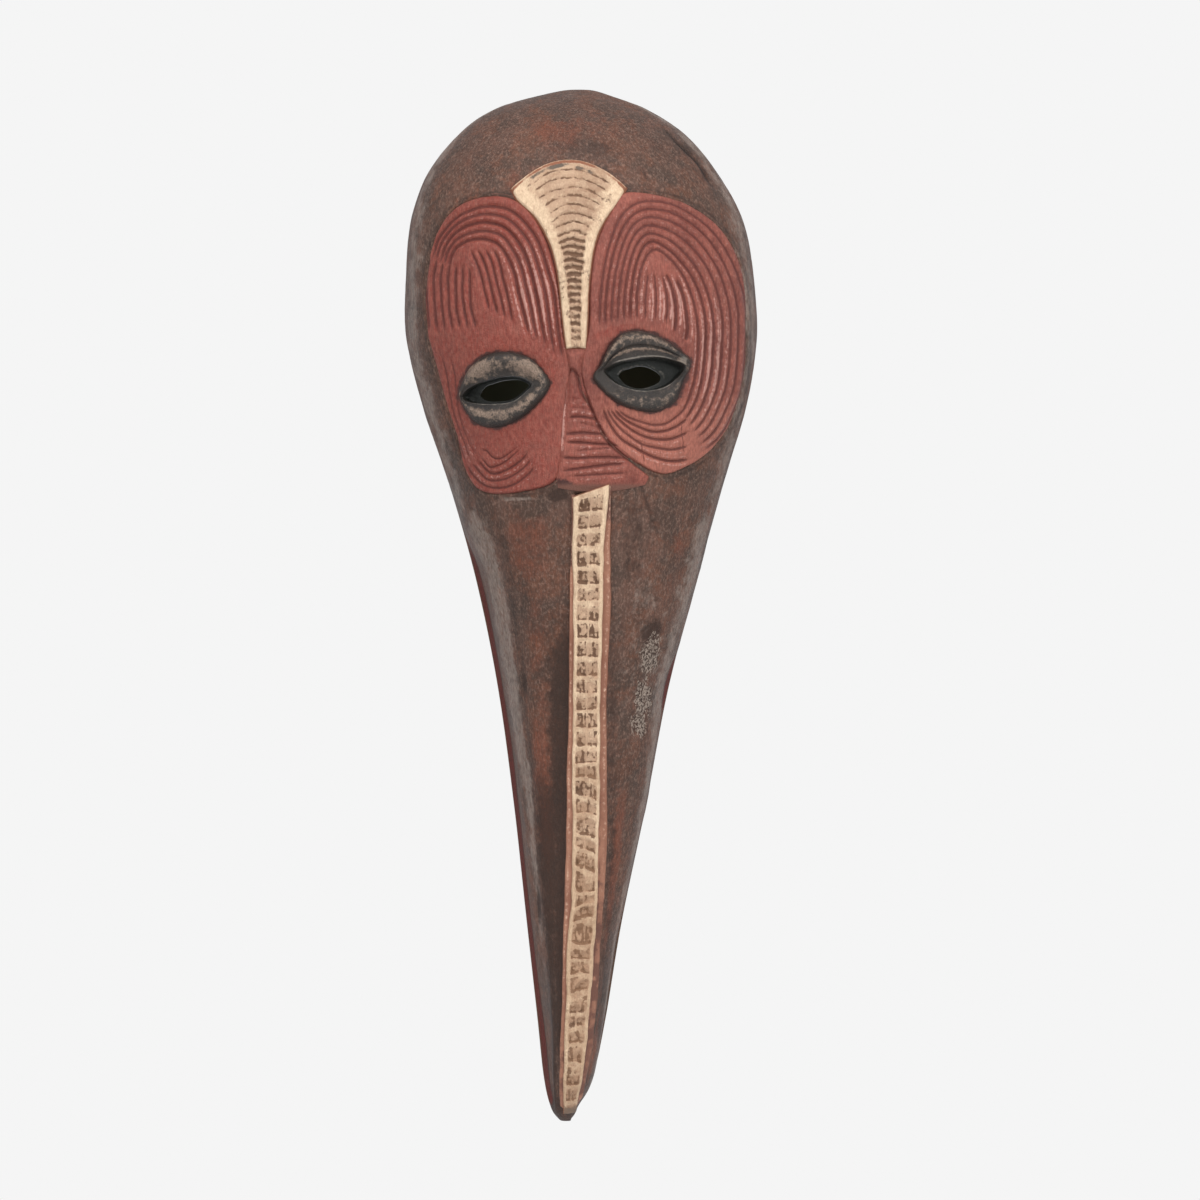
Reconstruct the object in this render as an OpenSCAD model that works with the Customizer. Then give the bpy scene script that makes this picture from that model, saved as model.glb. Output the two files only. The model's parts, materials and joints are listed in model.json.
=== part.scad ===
// Carved bird mask: a hollowed wooden head with a long beak, carved colour fields and open eyes.
// Millimetres. X to the viewer's right, Z up, the face looks along -Y, the back rim lies in Y = 0.
// The origin is the mouth of the hanging hole in the crown. Left and right are the viewer's.

/* [Overall] */
// Height from crown to beak tip
mask_height = 490; // [400:5:600]
// Width across the cheeks at the back rim
mask_width = 166; // [135:1:200]
// Depth of the forehead in front of the back rim
head_depth = 75; // [60:1:95]

/* [Carved block] */
// Wood left between the hollow and the outside of the head
head_wall = 12; // [9:0.5:16]
// Wood left at the sides of the beak
beak_wall = 8; // [6:0.5:11]
// Solid wood above the hollow at the crown
crown_rim = 26; // [23:1:34]
// Solid wood below the hollow at the beak tip
tip_solid = 62; // [40:1:110]
// How square the cross-section is, 2 being an ellipse
section_square = 2.2; // [2:0.05:3]

/* [Hanging hole] */
// Radius of the blind hole that the wall nail enters
hang_r = 2.5; // [2:0.1:3.5]
// Depth of that hole in the back rim
hang_depth = 12; // [8:0.5:15]
// Distance of the hole below the top of the crown
hang_drop = 12; // [11:0.5:15]

/* [Colour fields] */
// Depth of the carved colour layer below the surface
field_deep = 2.4; // [1.5:0.1:3.5]
// Height of the ridges over the surface
ridge = 1.2; // [0.6:0.1:2]
// Depth of a groove below its ridge
groove = 1; // [0.4:0.1:1.4]
// Grooves nested inside each cheek field
field_grooves = 8; // [4:1:10]
// Grooves across the nose panel
nose_grooves = 7; // [4:1:10]
// Pairs of cells down the beak strip
strip_cells = 34; // [24:1:50]
// Width of the plain rail each side of the beak strip
rail_width = 3.2; // [2:0.1:5]

/* [Eyes] */
// Height of the lids over the face
lid_rise = 6; // [3:0.5:9]
// Length of the left eye rim
left_eye_length = 43; // [34:1:48]
// Height of the left eye rim
left_eye_height = 35; // [28:1:40]
// Length of the right eye rim
right_eye_length = 48; // [38:1:50]
// Height of the right eye rim
right_eye_height = 38; // [30:1:42]
// Length of the see-through slot in both eyes
slot_length = 21; // [14:1:26]
// Height of the see-through slot in both eyes
slot_height = 10.5; // [7:0.5:13]

/* [Hidden] */
wood = "#5b463c";
red = "#8c4a43";
cream = "#d9c6a4";
black = "#32332f";
tan = "#a5735f";
// Sizes below are for a mask 490 high, 166 wide and 75 deep, and scale with it.
kx = mask_width / 166;
kz = mask_height / 490;
kd = head_depth / 75;
// Down the carving: distance below the crown, left edge, right edge, depth of the front.
stations = [[0, -3, 3, 3], [3, -18, 15, 15], [10, -41, 33, 31], [22, -58, 51, 47],
    [40, -72, 66, 60], [62, -80, 78, 70], [88, -82, 83, 75], [118, -82, 84.5, 75],
    [150, -74.5, 79.5, 71], [190, -61, 68, 67], [235, -48.5, 55.5, 60], [285, -38.5, 42.5, 51],
    [340, -31, 32, 43], [395, -25, 20.5, 35], [440, -20, 13, 28], [468, -17, 7, 21],
    [482, -14, 0, 13], [488.5, -10, -3.5, 6], [490, -7.5, -4.5, 2]];
last = len(stations) - 1;
hollow_top = crown_rim / kz;
hollow_end = 490 - tip_solid / kz;

// Smooth pass through b and c, with a and d the points before and after.
function pass(a, b, c, d, t) =
    0.5 * (2 * b + (c - a) * t + (2 * a - 5 * b + 4 * c - d) * t * t
    + (3 * b - a - 3 * c + d) * t * t * t);
// The same station seen from beyond the end, which rounds the crown and the tip.
function over_end(q) = [q[0], q[2], q[1], -q[3]];
function station(i) = i < 0 ? over_end(stations[1])
    : i > last ? over_end(stations[last - 1]) : stations[i];
function section(s) = let (i = min(floor(s), last - 1))
    pass(station(i - 1), station(i), station(i + 1), station(i + 2), s - i);
function place_of(v, lo = 0, hi = last, n = 16) = n == 0 ? (lo + hi) / 2
    : let (m = (lo + hi) / 2) section(m)[0] < v ? place_of(v, m, hi, n - 1) : place_of(v, lo, m, n - 1);
// Height of the carved front over the back plane at p = [across, down].
function rise(p, wall = 0, front = 0) =
    let (q = section(place_of(p[1])), w = (q[2] - q[1]) / 2 - wall, x = abs(p[0] - (q[1] + q[2]) / 2),
        u = min(x / w, 0.999))
    (q[3] - front) * pow(1 - pow(u, section_square), 1 / section_square);
// A point of the front surface moved out along its normal by lift millimetres.
function at(p, lift) = let (e = 0.5, h = rise(p),
        gx = (rise(p + [e, 0]) - rise(p - [e, 0])) / (2 * e) * kd / kx,
        gz = (rise(p - [0, e]) - rise(p + [0, e])) / (2 * e) * kd / kz, n = [-gx, -1, -gz])
    [p[0] * kx, -h * kd, hang_drop - p[1] * kz] + lift * n / norm(n);

// A closed solid through a row of loops; ring joins the last loop to the first, and
// turned is for loops that run clockwise seen along the row.
module skin(loops, ring = false, turned = false) {
    n = len(loops);
    k = len(loops[0]);
    quads = [for (i = [0 : n - (ring ? 1 : 2)]) for (j = [0 : k - 1])
        let (a = i * k + j, b = i * k + (j + 1) % k, c = ((i + 1) % n) * k + (j + 1) % k,
            d = ((i + 1) % n) * k + j) each [[a, c, b], [a, d, c]]];
    cap = [for (i = [0 : ceil(k / 2) - 2]) let (b = i + 1, c = k - 2 - i)
        each b == c ? [[i, b, c + 1]] : [[i, b, c], [i, c, c + 1]]];
    ends = ring ? [] : concat(cap, [for (f = cap) [for (i = [2 : -1 : 0]) (n - 1) * k + f[i]]]);
    polyhedron(points = [for (l = loops) each l],
        faces = [for (f = concat(quads, ends)) turned ? [for (i = [len(f) - 1 : -1 : 0]) f[i]] : f],
        convexity = 12);
}

// Closed smooth outline through hand-set points, k steps between each two.
function outline(pts, k) = let (n = len(pts)) [for (i = [0 : n - 1]) for (j = [0 : k - 1])
    pass(pts[(i + n - 1) % n], pts[i], pts[(i + 1) % n], pts[(i + 2) % n], j / k)];
// Nested rings about centre c: smooth underneath, ridge and groove by turns on top.
module nested(pts, c, deep, count) {
    under = [for (s = [0.1, 0.4, 0.7, 1]) [for (p = pts) at(c + s * (p - c), -deep)]];
    top = [for (i = [0 : 2 * count]) let (s = 1 - 0.76 * i / (2 * count))
        [for (p = pts) at(c + s * (p - c), i == 0 ? ridge / 2 : ridge - (i % 2) * groove)]];
    middle = [for (s = [0.16, 0.06]) [for (p = pts) at(c + s * (p - c), ridge / 2)]];
    skin(concat(under, top, middle));
}

// A row across a band: rows are [down at left, down at right, left, right, arch].
function band_row(rows, s, t) = let (n = len(rows) - 1, i = min(floor(s), n - 1),
        r = pass(rows[max(i - 1, 0)], rows[i], rows[i + 1], rows[min(i + 2, n)], s - i))
    [r[2] + (r[3] - r[2]) * t, r[0] + (r[1] - r[0]) * t + r[4] * 4 * t * (1 - t)];
// A band swept along its rows, with lifts[row][column] over the surface; every under-th column
// is kept on its underside.
module band(rows, places, lifts, deep, under = 1) {
    cols = len(lifts[0]) - 1;
    skin([for (i = [0 : len(places) - 1]) concat(
        [for (j = [0 : cols]) at(band_row(rows, places[i], j / cols), lifts[i][j])],
        [for (j = [cols : -under : 0]) at(band_row(rows, places[i], j / cols), -deep)])], turned = true);
}

left_pts = [[-30, 55.5], [-46, 54], [-59, 59.5], [-68, 72], [-73, 92], [-72.5, 113], [-67, 138],
    [-59.5, 163], [-53, 184.5], [-44, 193.5], [-27, 193.5], [-9.5, 187], [-6, 165], [-4, 147],
    [-2.5, 136], [-6, 118], [-9.5, 90], [-18, 67]];
right_pts = [[38, 185], [50, 182], [63, 173], [73, 159], [79, 140], [80.5, 118], [80, 101],
    [76, 82], [66, 67], [52, 57.5], [36, 53], [21, 52.5], [15, 60], [9, 72], [5.5, 85], [4, 100],
    [3.5, 116], [0, 133], [1, 143], [5, 154], [11, 166], [23, 177.5]];
wedge_rows = [[51.5, 51.5, -32, 23, -14], [58, 57, -29, 20, -13], [63, 62, -23, 16, -11],
    [68, 67, -18.5, 12.5, -9], [74, 73, -15.5, 9.5, -7], [81, 81, -12.5, 7, -4],
    [90, 90, -10.5, 6, -2], [100, 100, -9, 5, 0], [112, 112, -7.8, 4.8, 0], [127, 127, -6, 4, 0]];
nose_rows = [[127, 127, -6, 4, 0], [137, 137, -4, 1, 0], [147, 147, -5, 2.5, 0],
    [157, 157, -6.5, 6.5, 0], [165, 165, -7, 10, 1], [172, 171, -8, 13.5, 3],
    [179, 178, -9, 19, 4], [186.5, 186.5, -11, 28.5, 6]];
strip_rows = [[195.5, 190, -2, 14, 0], [206, 205, -3, 14, 0], [224, 224, -3, 13.5, 0],
    [243, 243, -2.5, 13, 0], [266, 266, -2.5, 11.5, 0], [289, 289, -2.5, 10.5, 0],
    [336, 336, -3.5, 9.5, 0], [383, 383, -4.5, 8.5, 0], [407, 407, -5.5, 6.5, 0],
    [431, 431, -6.5, 5, 0], [455, 455, -7, 2.5, 0], [481, 481, -7.5, -1.5, 0]];

module left_field_blank() nested(outline(left_pts, 3), [-40, 122], field_deep, field_grooves);
module right_field_blank() nested(outline(right_pts, 2), [38, 120], field_deep, field_grooves);
module wedge_solid() {
    n = 32;
    band(wedge_rows, [for (i = [0 : n]) 0.4188 * i - 0.0043 * i * i - (i == n ? 0.00001 : 0)],
        [for (i = [0 : n]) [for (j = [0 : 8]) let (edge = j == 0 || j == 8 || i == 0 || i == n)
            ridge + 0.4 - (edge ? 0 : (i % 2) * groove)]], field_deep + 0.8);
}
module nose_solid() {
    n = 2 * nose_grooves + 6;
    band(nose_rows, [for (i = [0 : n]) 6.9999 * i / n],
        [for (i = [0 : n]) [for (j = [0 : 6]) ridge + 0.2
            - (i > 5 && i < n && j > 0 && j < 6 ? (i % 2) * groove : 0)]], field_deep + 0.4);
}
module strip_solid() {
    n = 2 * strip_cells;
    band(strip_rows, [for (i = [0 : n]) strip_place(i / n)],
        [for (i = [0 : n]) [for (j = [0 : 4]) ridge + 1.3 - (i % 2 == 1 && j % 2 == 1 ? groove : 0)]],
        field_deep + 1, under = 2);
}
// Position in strip_rows for an even spacing down the beak, f running from 0 to 1.
function strip_place(f, lo = 0, hi = 10.9999, n = 14) = n == 0 ? (lo + hi) / 2
    : let (m = (lo + hi) / 2) band_row(strip_rows, m, 0)[1] < 195.5 + 285.5 * f
    ? strip_place(f, m, hi, n - 1) : strip_place(f, lo, m, n - 1);
// Rails overlap the strip a little and are trimmed by it; they run from just below the nose
// panel nearly to the tip, as positions in strip_rows.
rail_from = 0.2;
rail_to = 10.45;
module rail_blank(side) {
    rows = [for (r = strip_rows) let (e = side < 0 ? r[2] : r[3], f = rail_width / kx)
        side < 0 ? [r[0], r[0], e - f, e + 0.8, 0] : [r[1], r[1], e - 0.8, e + f, 0]];
    band(rows, [for (i = [0 : 30]) rail_from + (rail_to - rail_from) * i / 30],
        [for (i = [0 : 30]) side < 0 ? [0.3, ridge, ridge] : [ridge, ridge, 0.3]], field_deep + 0.2);
}

// Eyes: centre, length, height and tilt of the rim, then the same for the lid opening.
left_eye = [[-34.5, 145], left_eye_length, left_eye_height, -8];
left_lids = [[-38, 145], slot_length + 9, slot_height + 2, -10];
left_slot = [[-34, 145], slot_length, slot_height, -6];
right_eye = [[29, 137], right_eye_length, right_eye_height, -14];
right_lids = [[31, 136.5], slot_length + 14, slot_height + 5, -8];
right_slot = [[28.5, 139], slot_length, slot_height, 0];
eye_steps = 36;
// Superellipse with pointed corners, its sizes in true millimetres.
function almond(e) = [for (i = [0 : eye_steps - 1]) let (a = 360 * i / eye_steps,
        x = e[1] / 2 * cos(a), z = e[2] / 2 * sin(a) * (1 - 0.18 * pow(abs(cos(a)), 4)))
    [e[0][0] + (x * cos(e[3]) - z * sin(e[3])) / kx, e[0][1] + (x * sin(e[3]) + z * cos(e[3])) / kz]];
function front(p, out) = [p[0] * kx, -rise(p) * kd - out, hang_drop - p[1] * kz];
function inner(p) = [p[0] * kx, -rise(p, head_wall / kx, head_wall / kd) * kd + 1.5,
    hang_drop - p[1] * kz];
module eye_rim(eye, lids, slot) {
    o = almond(eye);
    l = almond(lids);
    h = almond(slot);
    skin([[for (p = o) inner(p)], [for (p = o) front(p, ridge + 0.3)],
        [for (i = [0 : eye_steps - 1]) front(0.7 * o[i] + 0.3 * l[i], lid_rise * 0.8)],
        [for (i = [0 : eye_steps - 1]) front(0.35 * o[i] + 0.65 * l[i], lid_rise)],
        [for (p = l) front(p, lid_rise * 0.65)], [for (p = h) front(p, -4)],
        [for (p = h) inner(p)]], ring = true, turned = true);
}
// The straight hole that a rim fills, through colour field and wood.
module eye_hole(eye) {
    translate([0, -10, 0]) rotate([90, 0, 0]) linear_extrude(head_depth + 40)
        polygon([for (p = almond(eye)) [p[0] * kx, hang_drop - p[1] * kz]]);
}

module block() {
    arc = 30;
    skin([for (i = [0 : 3 * last]) let (q = section(i / 3), c = (q[1] + q[2]) / 2, w = (q[2] - q[1]) / 2)
        [for (j = [0 : arc]) let (a = 180 * j / arc, e = 2 / section_square)
            [(c - sign(cos(a)) * w * pow(abs(cos(a)), e)) * kx, -q[3] * kd * pow(sin(a), e),
            hang_drop - q[0] * kz]]], turned = true);
}
// Roundness of the hollow's ends: 0 at its very top and bottom, 1 along its length.
function fade(v) = let (a = min(1, (v - hollow_top) / 45), b = min(1, (hollow_end - v) / 90))
    sqrt(max(0.01, 1 - pow(1 - a, 2))) * sqrt(max(0.01, 1 - pow(1 - b, 2)));
module hollow() {
    arc = 20;
    steps = 28;
    long = hollow_end - hollow_top;
    skin([for (i = [0 : steps]) let (v = hollow_top + long * (1 - cos(180 * i / steps)) / 2,
            q = section(place_of(v)), k = max(0, min(1, (v - 150) / 150)),
            wall = head_wall + (beak_wall - head_wall) * k, c = (q[1] + q[2]) / 2,
            w = ((q[2] - q[1]) / 2 - wall / kx) * fade(v), d = (q[3] - head_wall / kd) * fade(v))
        concat([[(c - w) * kx, 2, hang_drop - v * kz]],
            [for (j = [0 : arc]) let (a = 180 * j / arc, e = 2 / section_square)
                [(c - sign(cos(a)) * w * pow(abs(cos(a)), e)) * kx, -d * kd * pow(sin(a), e),
                hang_drop - v * kz]],
            [[(c + w) * kx, 2, hang_drop - v * kz]])], turned = true);
}

// The solid crown ends a little above the hollow, and the shell starts where it ends.
module crown_space() translate([-mask_width, -2 * head_depth, hang_drop - crown_rim + 2])
    cube([2 * mask_width, 3 * head_depth, crown_rim + 10]);
module crown() color(wood) difference() {
    resize([0, 0, 0]) intersection() {
        block();
        crown_space();
    }
    translate([0, 1, 0]) rotate([90, 0, 0]) cylinder(r = hang_r, h = hang_depth + 1, $fn = 48);
}
module mask_shell() color(wood) resize([0, 0, 0]) difference() {
    block();
    crown_space();
    hollow();
    left_field_blank();
    right_field_blank();
    nose_solid();
    wedge_solid();
    strip_solid();
    rail_blank(-1);
    rail_blank(1);
    eye_hole(left_eye);
    eye_hole(right_eye);
}
module left_face_field() color(red) resize([0, 0, 0]) difference() {
    left_field_blank();
    nose_solid();
    wedge_solid();
    eye_hole(left_eye);
}
module right_face_field() color(red) resize([0, 0, 0]) difference() {
    right_field_blank();
    nose_solid();
    wedge_solid();
    eye_hole(right_eye);
}
module nose_panel() color(red) resize([0, 0, 0]) difference() {
    nose_solid();
    wedge_solid();
    strip_solid();
    eye_hole(left_eye);
    eye_hole(right_eye);
}
module forehead_wedge() color(cream) wedge_solid();
module left_eye_rim() color(black) eye_rim(left_eye, left_lids, left_slot);
module right_eye_rim() color(black) eye_rim(right_eye, right_lids, right_slot);
module beak_strip() color(cream) strip_solid();
module left_rail() color(tan) resize([0, 0, 0]) difference() {
    rail_blank(-1);
    strip_solid();
    nose_solid();
}
module right_rail() color(tan) resize([0, 0, 0]) difference() {
    rail_blank(1);
    strip_solid();
    nose_solid();
}

crown();
mask_shell();
left_face_field();
right_face_field();
nose_panel();
forehead_wedge();
left_eye_rim();
right_eye_rim();
beak_strip();
left_rail();
right_rail();
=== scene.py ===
import json

import bpy
import mathutils
import numpy as np
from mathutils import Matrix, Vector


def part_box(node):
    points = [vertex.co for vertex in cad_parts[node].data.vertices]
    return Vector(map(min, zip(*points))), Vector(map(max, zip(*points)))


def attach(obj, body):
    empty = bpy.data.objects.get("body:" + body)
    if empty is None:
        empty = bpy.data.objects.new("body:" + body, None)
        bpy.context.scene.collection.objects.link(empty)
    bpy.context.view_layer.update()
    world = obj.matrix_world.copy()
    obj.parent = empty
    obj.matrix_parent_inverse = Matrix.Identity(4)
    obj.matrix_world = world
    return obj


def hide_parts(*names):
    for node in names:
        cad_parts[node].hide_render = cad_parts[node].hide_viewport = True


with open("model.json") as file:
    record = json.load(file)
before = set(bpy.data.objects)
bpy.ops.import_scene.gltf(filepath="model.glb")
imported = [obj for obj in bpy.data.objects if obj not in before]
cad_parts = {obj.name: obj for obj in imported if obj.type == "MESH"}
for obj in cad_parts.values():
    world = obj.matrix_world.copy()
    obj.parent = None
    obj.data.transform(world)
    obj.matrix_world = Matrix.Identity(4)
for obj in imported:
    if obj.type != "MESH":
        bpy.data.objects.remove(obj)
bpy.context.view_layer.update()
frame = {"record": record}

# ---- Carved block ---------------------------------------------------------------------------
# Head and beak are one block of dense brown wood, shaped with an adze, hollowed from behind with
# gouges so that it can be worn, then darkened with soot and oil and rubbed to a dull shine.

# The carver's plan is in millimetres: x across, v down from the crown, h out of the back plane.
# The block that it draws is this wide, high and deep in metres, and is stretched to the CAD one.
plan_width, plan_height, plan_depth = 0.16724, 0.490, 0.07408
crown_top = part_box("crown")[1].z
shell_low, shell_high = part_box("mask_shell")
across = (shell_high.x - shell_low.x) / plan_width
down = (crown_top - shell_low.z) / plan_height
outward = -shell_low.y / plan_depth

# Down the block: v, left edge, right edge, depth of the front.
stations = np.array([
    [0, -3, 3, 3], [3, -18, 15, 15], [10, -41, 33, 31], [22, -58, 51, 47], [40, -72, 66, 60],
    [62, -80, 78, 70], [88, -82, 83, 75], [118, -82, 84.5, 75], [150, -74.5, 79.5, 71],
    [190, -61, 68, 67], [235, -48.5, 55.5, 60], [285, -38.5, 42.5, 51], [340, -31, 32, 43],
    [395, -25, 20.5, 35], [440, -20, 13, 28], [468, -17, 7, 21], [482, -14, 0, 13],
    [488.5, -10, -3.5, 6], [490, -7.5, -4.5, 2]], float)
squareness = 2.2
hollow_top, hollow_end = 26.0, 428.0
head_wall, beak_wall = 12, 8


def smooth_pass(rows, s, closed=False):
    """Smooth curve through rows of numbers at the positions s, the first row being 0: between
    two rows it is the cubic whose slope at a row is half the step between that row's neighbours."""
    rows = np.asarray(rows, float)
    if closed:
        rows = np.vstack([rows[-1:], rows, rows[:2]])
    else:
        rows = np.vstack([2 * rows[:1] - rows[1:2], rows, 2 * rows[-1:] - rows[-2:-1]])
    s = np.asarray(s, float)
    i = np.clip(np.floor(s).astype(int), 0, len(rows) - 4)
    t = (s - i)[..., None]
    a, b, c, d = rows[i], rows[i + 1], rows[i + 2], rows[i + 3]
    return b + 0.5 * t * (c - a + t * (2 * a - 5 * b + 4 * c - d + t * (3 * b - a - 3 * c + d)))


def mirrored(row):
    """A station as seen from beyond the block's end, which makes the end round."""
    return [row[0], row[2], row[1], -row[3]]


ends_round = np.vstack([mirrored(stations[1]), stations, mirrored(stations[-2])])
fine = smooth_pass(ends_round, np.linspace(1, len(stations), 6000))


def block_at(v):
    """Centre, half-width and depth of the block at v, read off the smoothed stations."""
    left, right, depth = (np.interp(v, fine[:, 0], fine[:, k]) for k in (1, 2, 3))
    return (left + right) / 2, (right - left) / 2, depth


def front_height(x, v):
    """Height of the bare front: depth * (1 - u^n)^(1/n), with u the share of the half-width."""
    centre, half, depth = block_at(v)
    u = np.clip(np.abs(x - centre) / half, 0, 0.999)
    return depth * (1 - u ** squareness) ** (1 / squareness)


def on_front(x, v, lift):
    """Points on the front at x and v, moved out along its normal by lift millimetres."""
    step = 0.4
    slope_x = (front_height(x + step, v) - front_height(x - step, v)) / (2 * step)
    slope_v = (front_height(x, v + step) - front_height(x, v - step)) / (2 * step)
    normal = np.stack([-slope_x, -slope_v, np.ones_like(slope_x)], -1)
    normal /= np.linalg.norm(normal, axis=-1, keepdims=True)
    return np.stack([x, v, front_height(x, v)], -1) + normal * np.asarray(lift)[..., None]


def in_frame(plan):
    """Plan millimetres (x, v, h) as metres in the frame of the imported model."""
    return np.stack([plan[..., 0] * across, -plan[..., 2] * outward,
                     crown_top * 1000 - plan[..., 1] * down], -1) / 1000


def soft_noise(points, size, seed):
    """Random heights from -1 to 1 on a cubic lattice of the given spacing, blended between the
    eight corners round each point with the weights 3t^2 - 2t^3."""
    table = np.random.default_rng(seed).uniform(-1, 1, (32, 32, 32))
    q = np.asarray(points) / size
    low = np.floor(q).astype(int)
    t = q - low
    t = t * t * (3 - 2 * t)
    total = 0
    for corner in np.ndindex(2, 2, 2):
        weight = np.prod(np.where(corner, t, 1 - t), -1)
        i, j, k = np.moveaxis((low + corner) % 32, -1, 0)
        total = total + weight * table[i, j, k]
    return total


def ease(low, high, x):
    """0 below low, 1 above high, and 3t^2 - 2t^3 between them."""
    t = np.clip((x - low) / (high - low), 0, 1)
    return t * t * (3 - 2 * t)


def bump(x, middle, width):
    """Bell curve exp(-((x - middle) / width)^2)."""
    return np.exp(-((x - middle) / width) ** 2)


def line_distance(x, v, line, reach):
    """Distance from each point to a drawn line and the share of the line's length at the nearest
    place: the least over its straight pieces. Beyond reach it is left at reach."""
    line = np.asarray(line, float)
    shape = x.shape
    p = np.stack([np.ravel(x), np.ravel(v)], -1)
    near = np.all((p > line.min(0) - reach) & (p < line.max(0) + reach), 1)
    distance, share = np.full(len(p), float(reach)), np.zeros(len(p))
    a, d = line[:-1], np.diff(line, axis=0)
    long = np.linalg.norm(d, axis=1)
    before = np.concatenate([[0], np.cumsum(long)[:-1]])
    best, at = np.full(near.sum(), float(reach)), np.zeros(near.sum())
    for k in range(len(d)):
        t = np.clip(((p[near] - a[k]) @ d[k]) / long[k] ** 2, 0, 1)
        away = np.linalg.norm(p[near] - a[k] - t[:, None] * d[k], axis=1)
        closer = away < best
        best = np.where(closer, away, best)
        at = np.where(closer, (before[k] + t * long[k]) / long.sum(), at)
    distance[near], share[near] = best, at
    return distance.reshape(shape), np.clip(share, 0, 1).reshape(shape)


def drawn(points, count, closed=False):
    """count points along the smooth pass through given points, evenly spaced in length."""
    n = len(points) if closed else len(points) - 1
    dense = smooth_pass(points, np.linspace(0, n, 60 * n + 1), closed)
    length = np.concatenate([[0], np.cumsum(np.linalg.norm(np.diff(dense, axis=0), axis=1))])
    even = np.linspace(0, length[-1], count + 1 if closed else count)
    even = even[:-1] if closed else even
    return np.stack([np.interp(even, length, dense[:, k]) for k in (0, 1)], -1)


def reach_of(outline, centre, angle):
    """Distance from centre to a star-shaped outline round it, along the rays at those angles."""
    ring = drawn(outline, 720, closed=True) - centre
    turned = np.arctan2(ring[:, 1], ring[:, 0])
    order = np.argsort(turned)
    far = np.linalg.norm(ring, axis=1)
    return np.interp(angle, turned[order], far[order], period=2 * np.pi)


def polar_inset(x, v, outline, centre):
    """How far inside a star-shaped outline each point lies, measured along the ray from centre."""
    angle = np.arctan2(v - centre[1], x - centre[0])
    return reach_of(outline, centre, angle) - np.hypot(x - centre[0], v - centre[1])


def wrap_skin(name, loops, masks, ring=False):
    """Closed mesh through rows of closed loops: each loop is joined to the next, and the last to
    the first if ring, or else each end is closed by a fan to the loop's mean point. Masks are
    numbers from 0 to 1 on the same grid, kept on the mesh as attributes."""
    rows, cols, _ = loops.shape
    index = np.arange(rows * cols).reshape(rows, cols)
    a, b = (index, np.roll(index, -1, 0)) if ring else (index[:-1], index[1:])
    quads = np.stack([a, b, np.roll(b, -1, 1), np.roll(a, -1, 1)], -1).reshape(-1, 4)
    points, fans = loops.reshape(-1, 3), []
    if not ring:
        points = np.vstack([points, loops[0].mean(0), loops[-1].mean(0)])
        top, end = index[0], index[-1]
        fans = [np.stack([top, np.roll(top, -1), np.full(cols, rows * cols)], -1),
                np.stack([np.roll(end, -1), end, np.full(cols, rows * cols + 1)], -1)]
    triangles = np.vstack([quads[:, :3], quads[:, [0, 2, 3]], *fans])
    p = points[triangles]
    if np.einsum("ij,ij->i", p[:, 0], np.cross(p[:, 1], p[:, 2])).sum() < 0:
        quads, fans = quads[:, ::-1], [f[:, ::-1] for f in fans]
    faces = quads.tolist() + [face for f in fans for face in f.tolist()]
    mesh = bpy.data.meshes.new(name)
    mesh.from_pydata(points.tolist(), [], faces)
    for key, values in masks.items():
        spread = np.ravel(np.broadcast_to(values, (rows, cols)))
        if not ring:
            spread = np.append(spread, [spread[:cols].mean(), spread[-cols:].mean()])
        layer = mesh.attributes.new(key, "FLOAT", "POINT")
        layer.data.foreach_set("value", spread.astype(np.float32))
    mesh.shade_smooth()
    piece = bpy.data.objects.new(name, mesh)
    bpy.context.scene.collection.objects.link(piece)
    return piece


def cut_away(piece, *cutters):
    """Takes the cutters' solids out of the piece and removes the cutters."""
    for cutter in cutters:
        tool = piece.modifiers.new("cut", "BOOLEAN")
        tool.operation, tool.solver, tool.object = "DIFFERENCE", "MANIFOLD", cutter
    whole = piece.evaluated_get(bpy.context.evaluated_depsgraph_get())
    piece.data = bpy.data.meshes.new_from_object(whole)
    piece.data.materials.clear()
    piece.modifiers.clear()
    for cutter in cutters:
        bpy.data.objects.remove(cutter)


left_field_outline = [
    [-30, 55.5], [-46, 54], [-59, 59.5], [-68, 72], [-73, 92], [-72.5, 113], [-67, 138],
    [-59.5, 163], [-53, 184.5], [-44, 193.5], [-27, 193.5], [-9.5, 187], [-6, 165], [-4, 147],
    [-2.5, 136], [-6, 118], [-9.5, 90], [-18, 67]]
right_field_outline = [
    [38, 185], [50, 182], [63, 173], [73, 159], [79, 140], [80.5, 118], [80, 101], [76, 82],
    [66, 67], [52, 57.5], [36, 53], [21, 52.5], [15, 60], [9, 72], [5.5, 85], [4, 100],
    [3.5, 116], [0, 133], [1, 143], [5, 154], [11, 166], [23, 177.5]]
left_eye_centre, right_eye_centre = np.array([-34.5, 145.0]), np.array([29.0, 137.0])
# Round each eye: the rim's outer edge from the left corner over the top to the right and back.
left_rim_outer = [[-55.5, 148], [-54, 140.5], [-50, 134], [-44, 129.5], [-36.5, 127.5],
                  [-28, 128.5], [-20.5, 132], [-13, 142], [-18, 150.5], [-26.5, 158],
                  [-37.5, 162.5], [-48.5, 159.5]]
right_rim_outer = [[7, 140.5], [10.5, 133.5], [14.5, 125], [20, 119.5], [27.5, 118], [36, 120],
                   [44, 124.5], [52, 131.5], [49, 140.5], [44.5, 151], [34, 155.5], [18.5, 151.5]]
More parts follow.
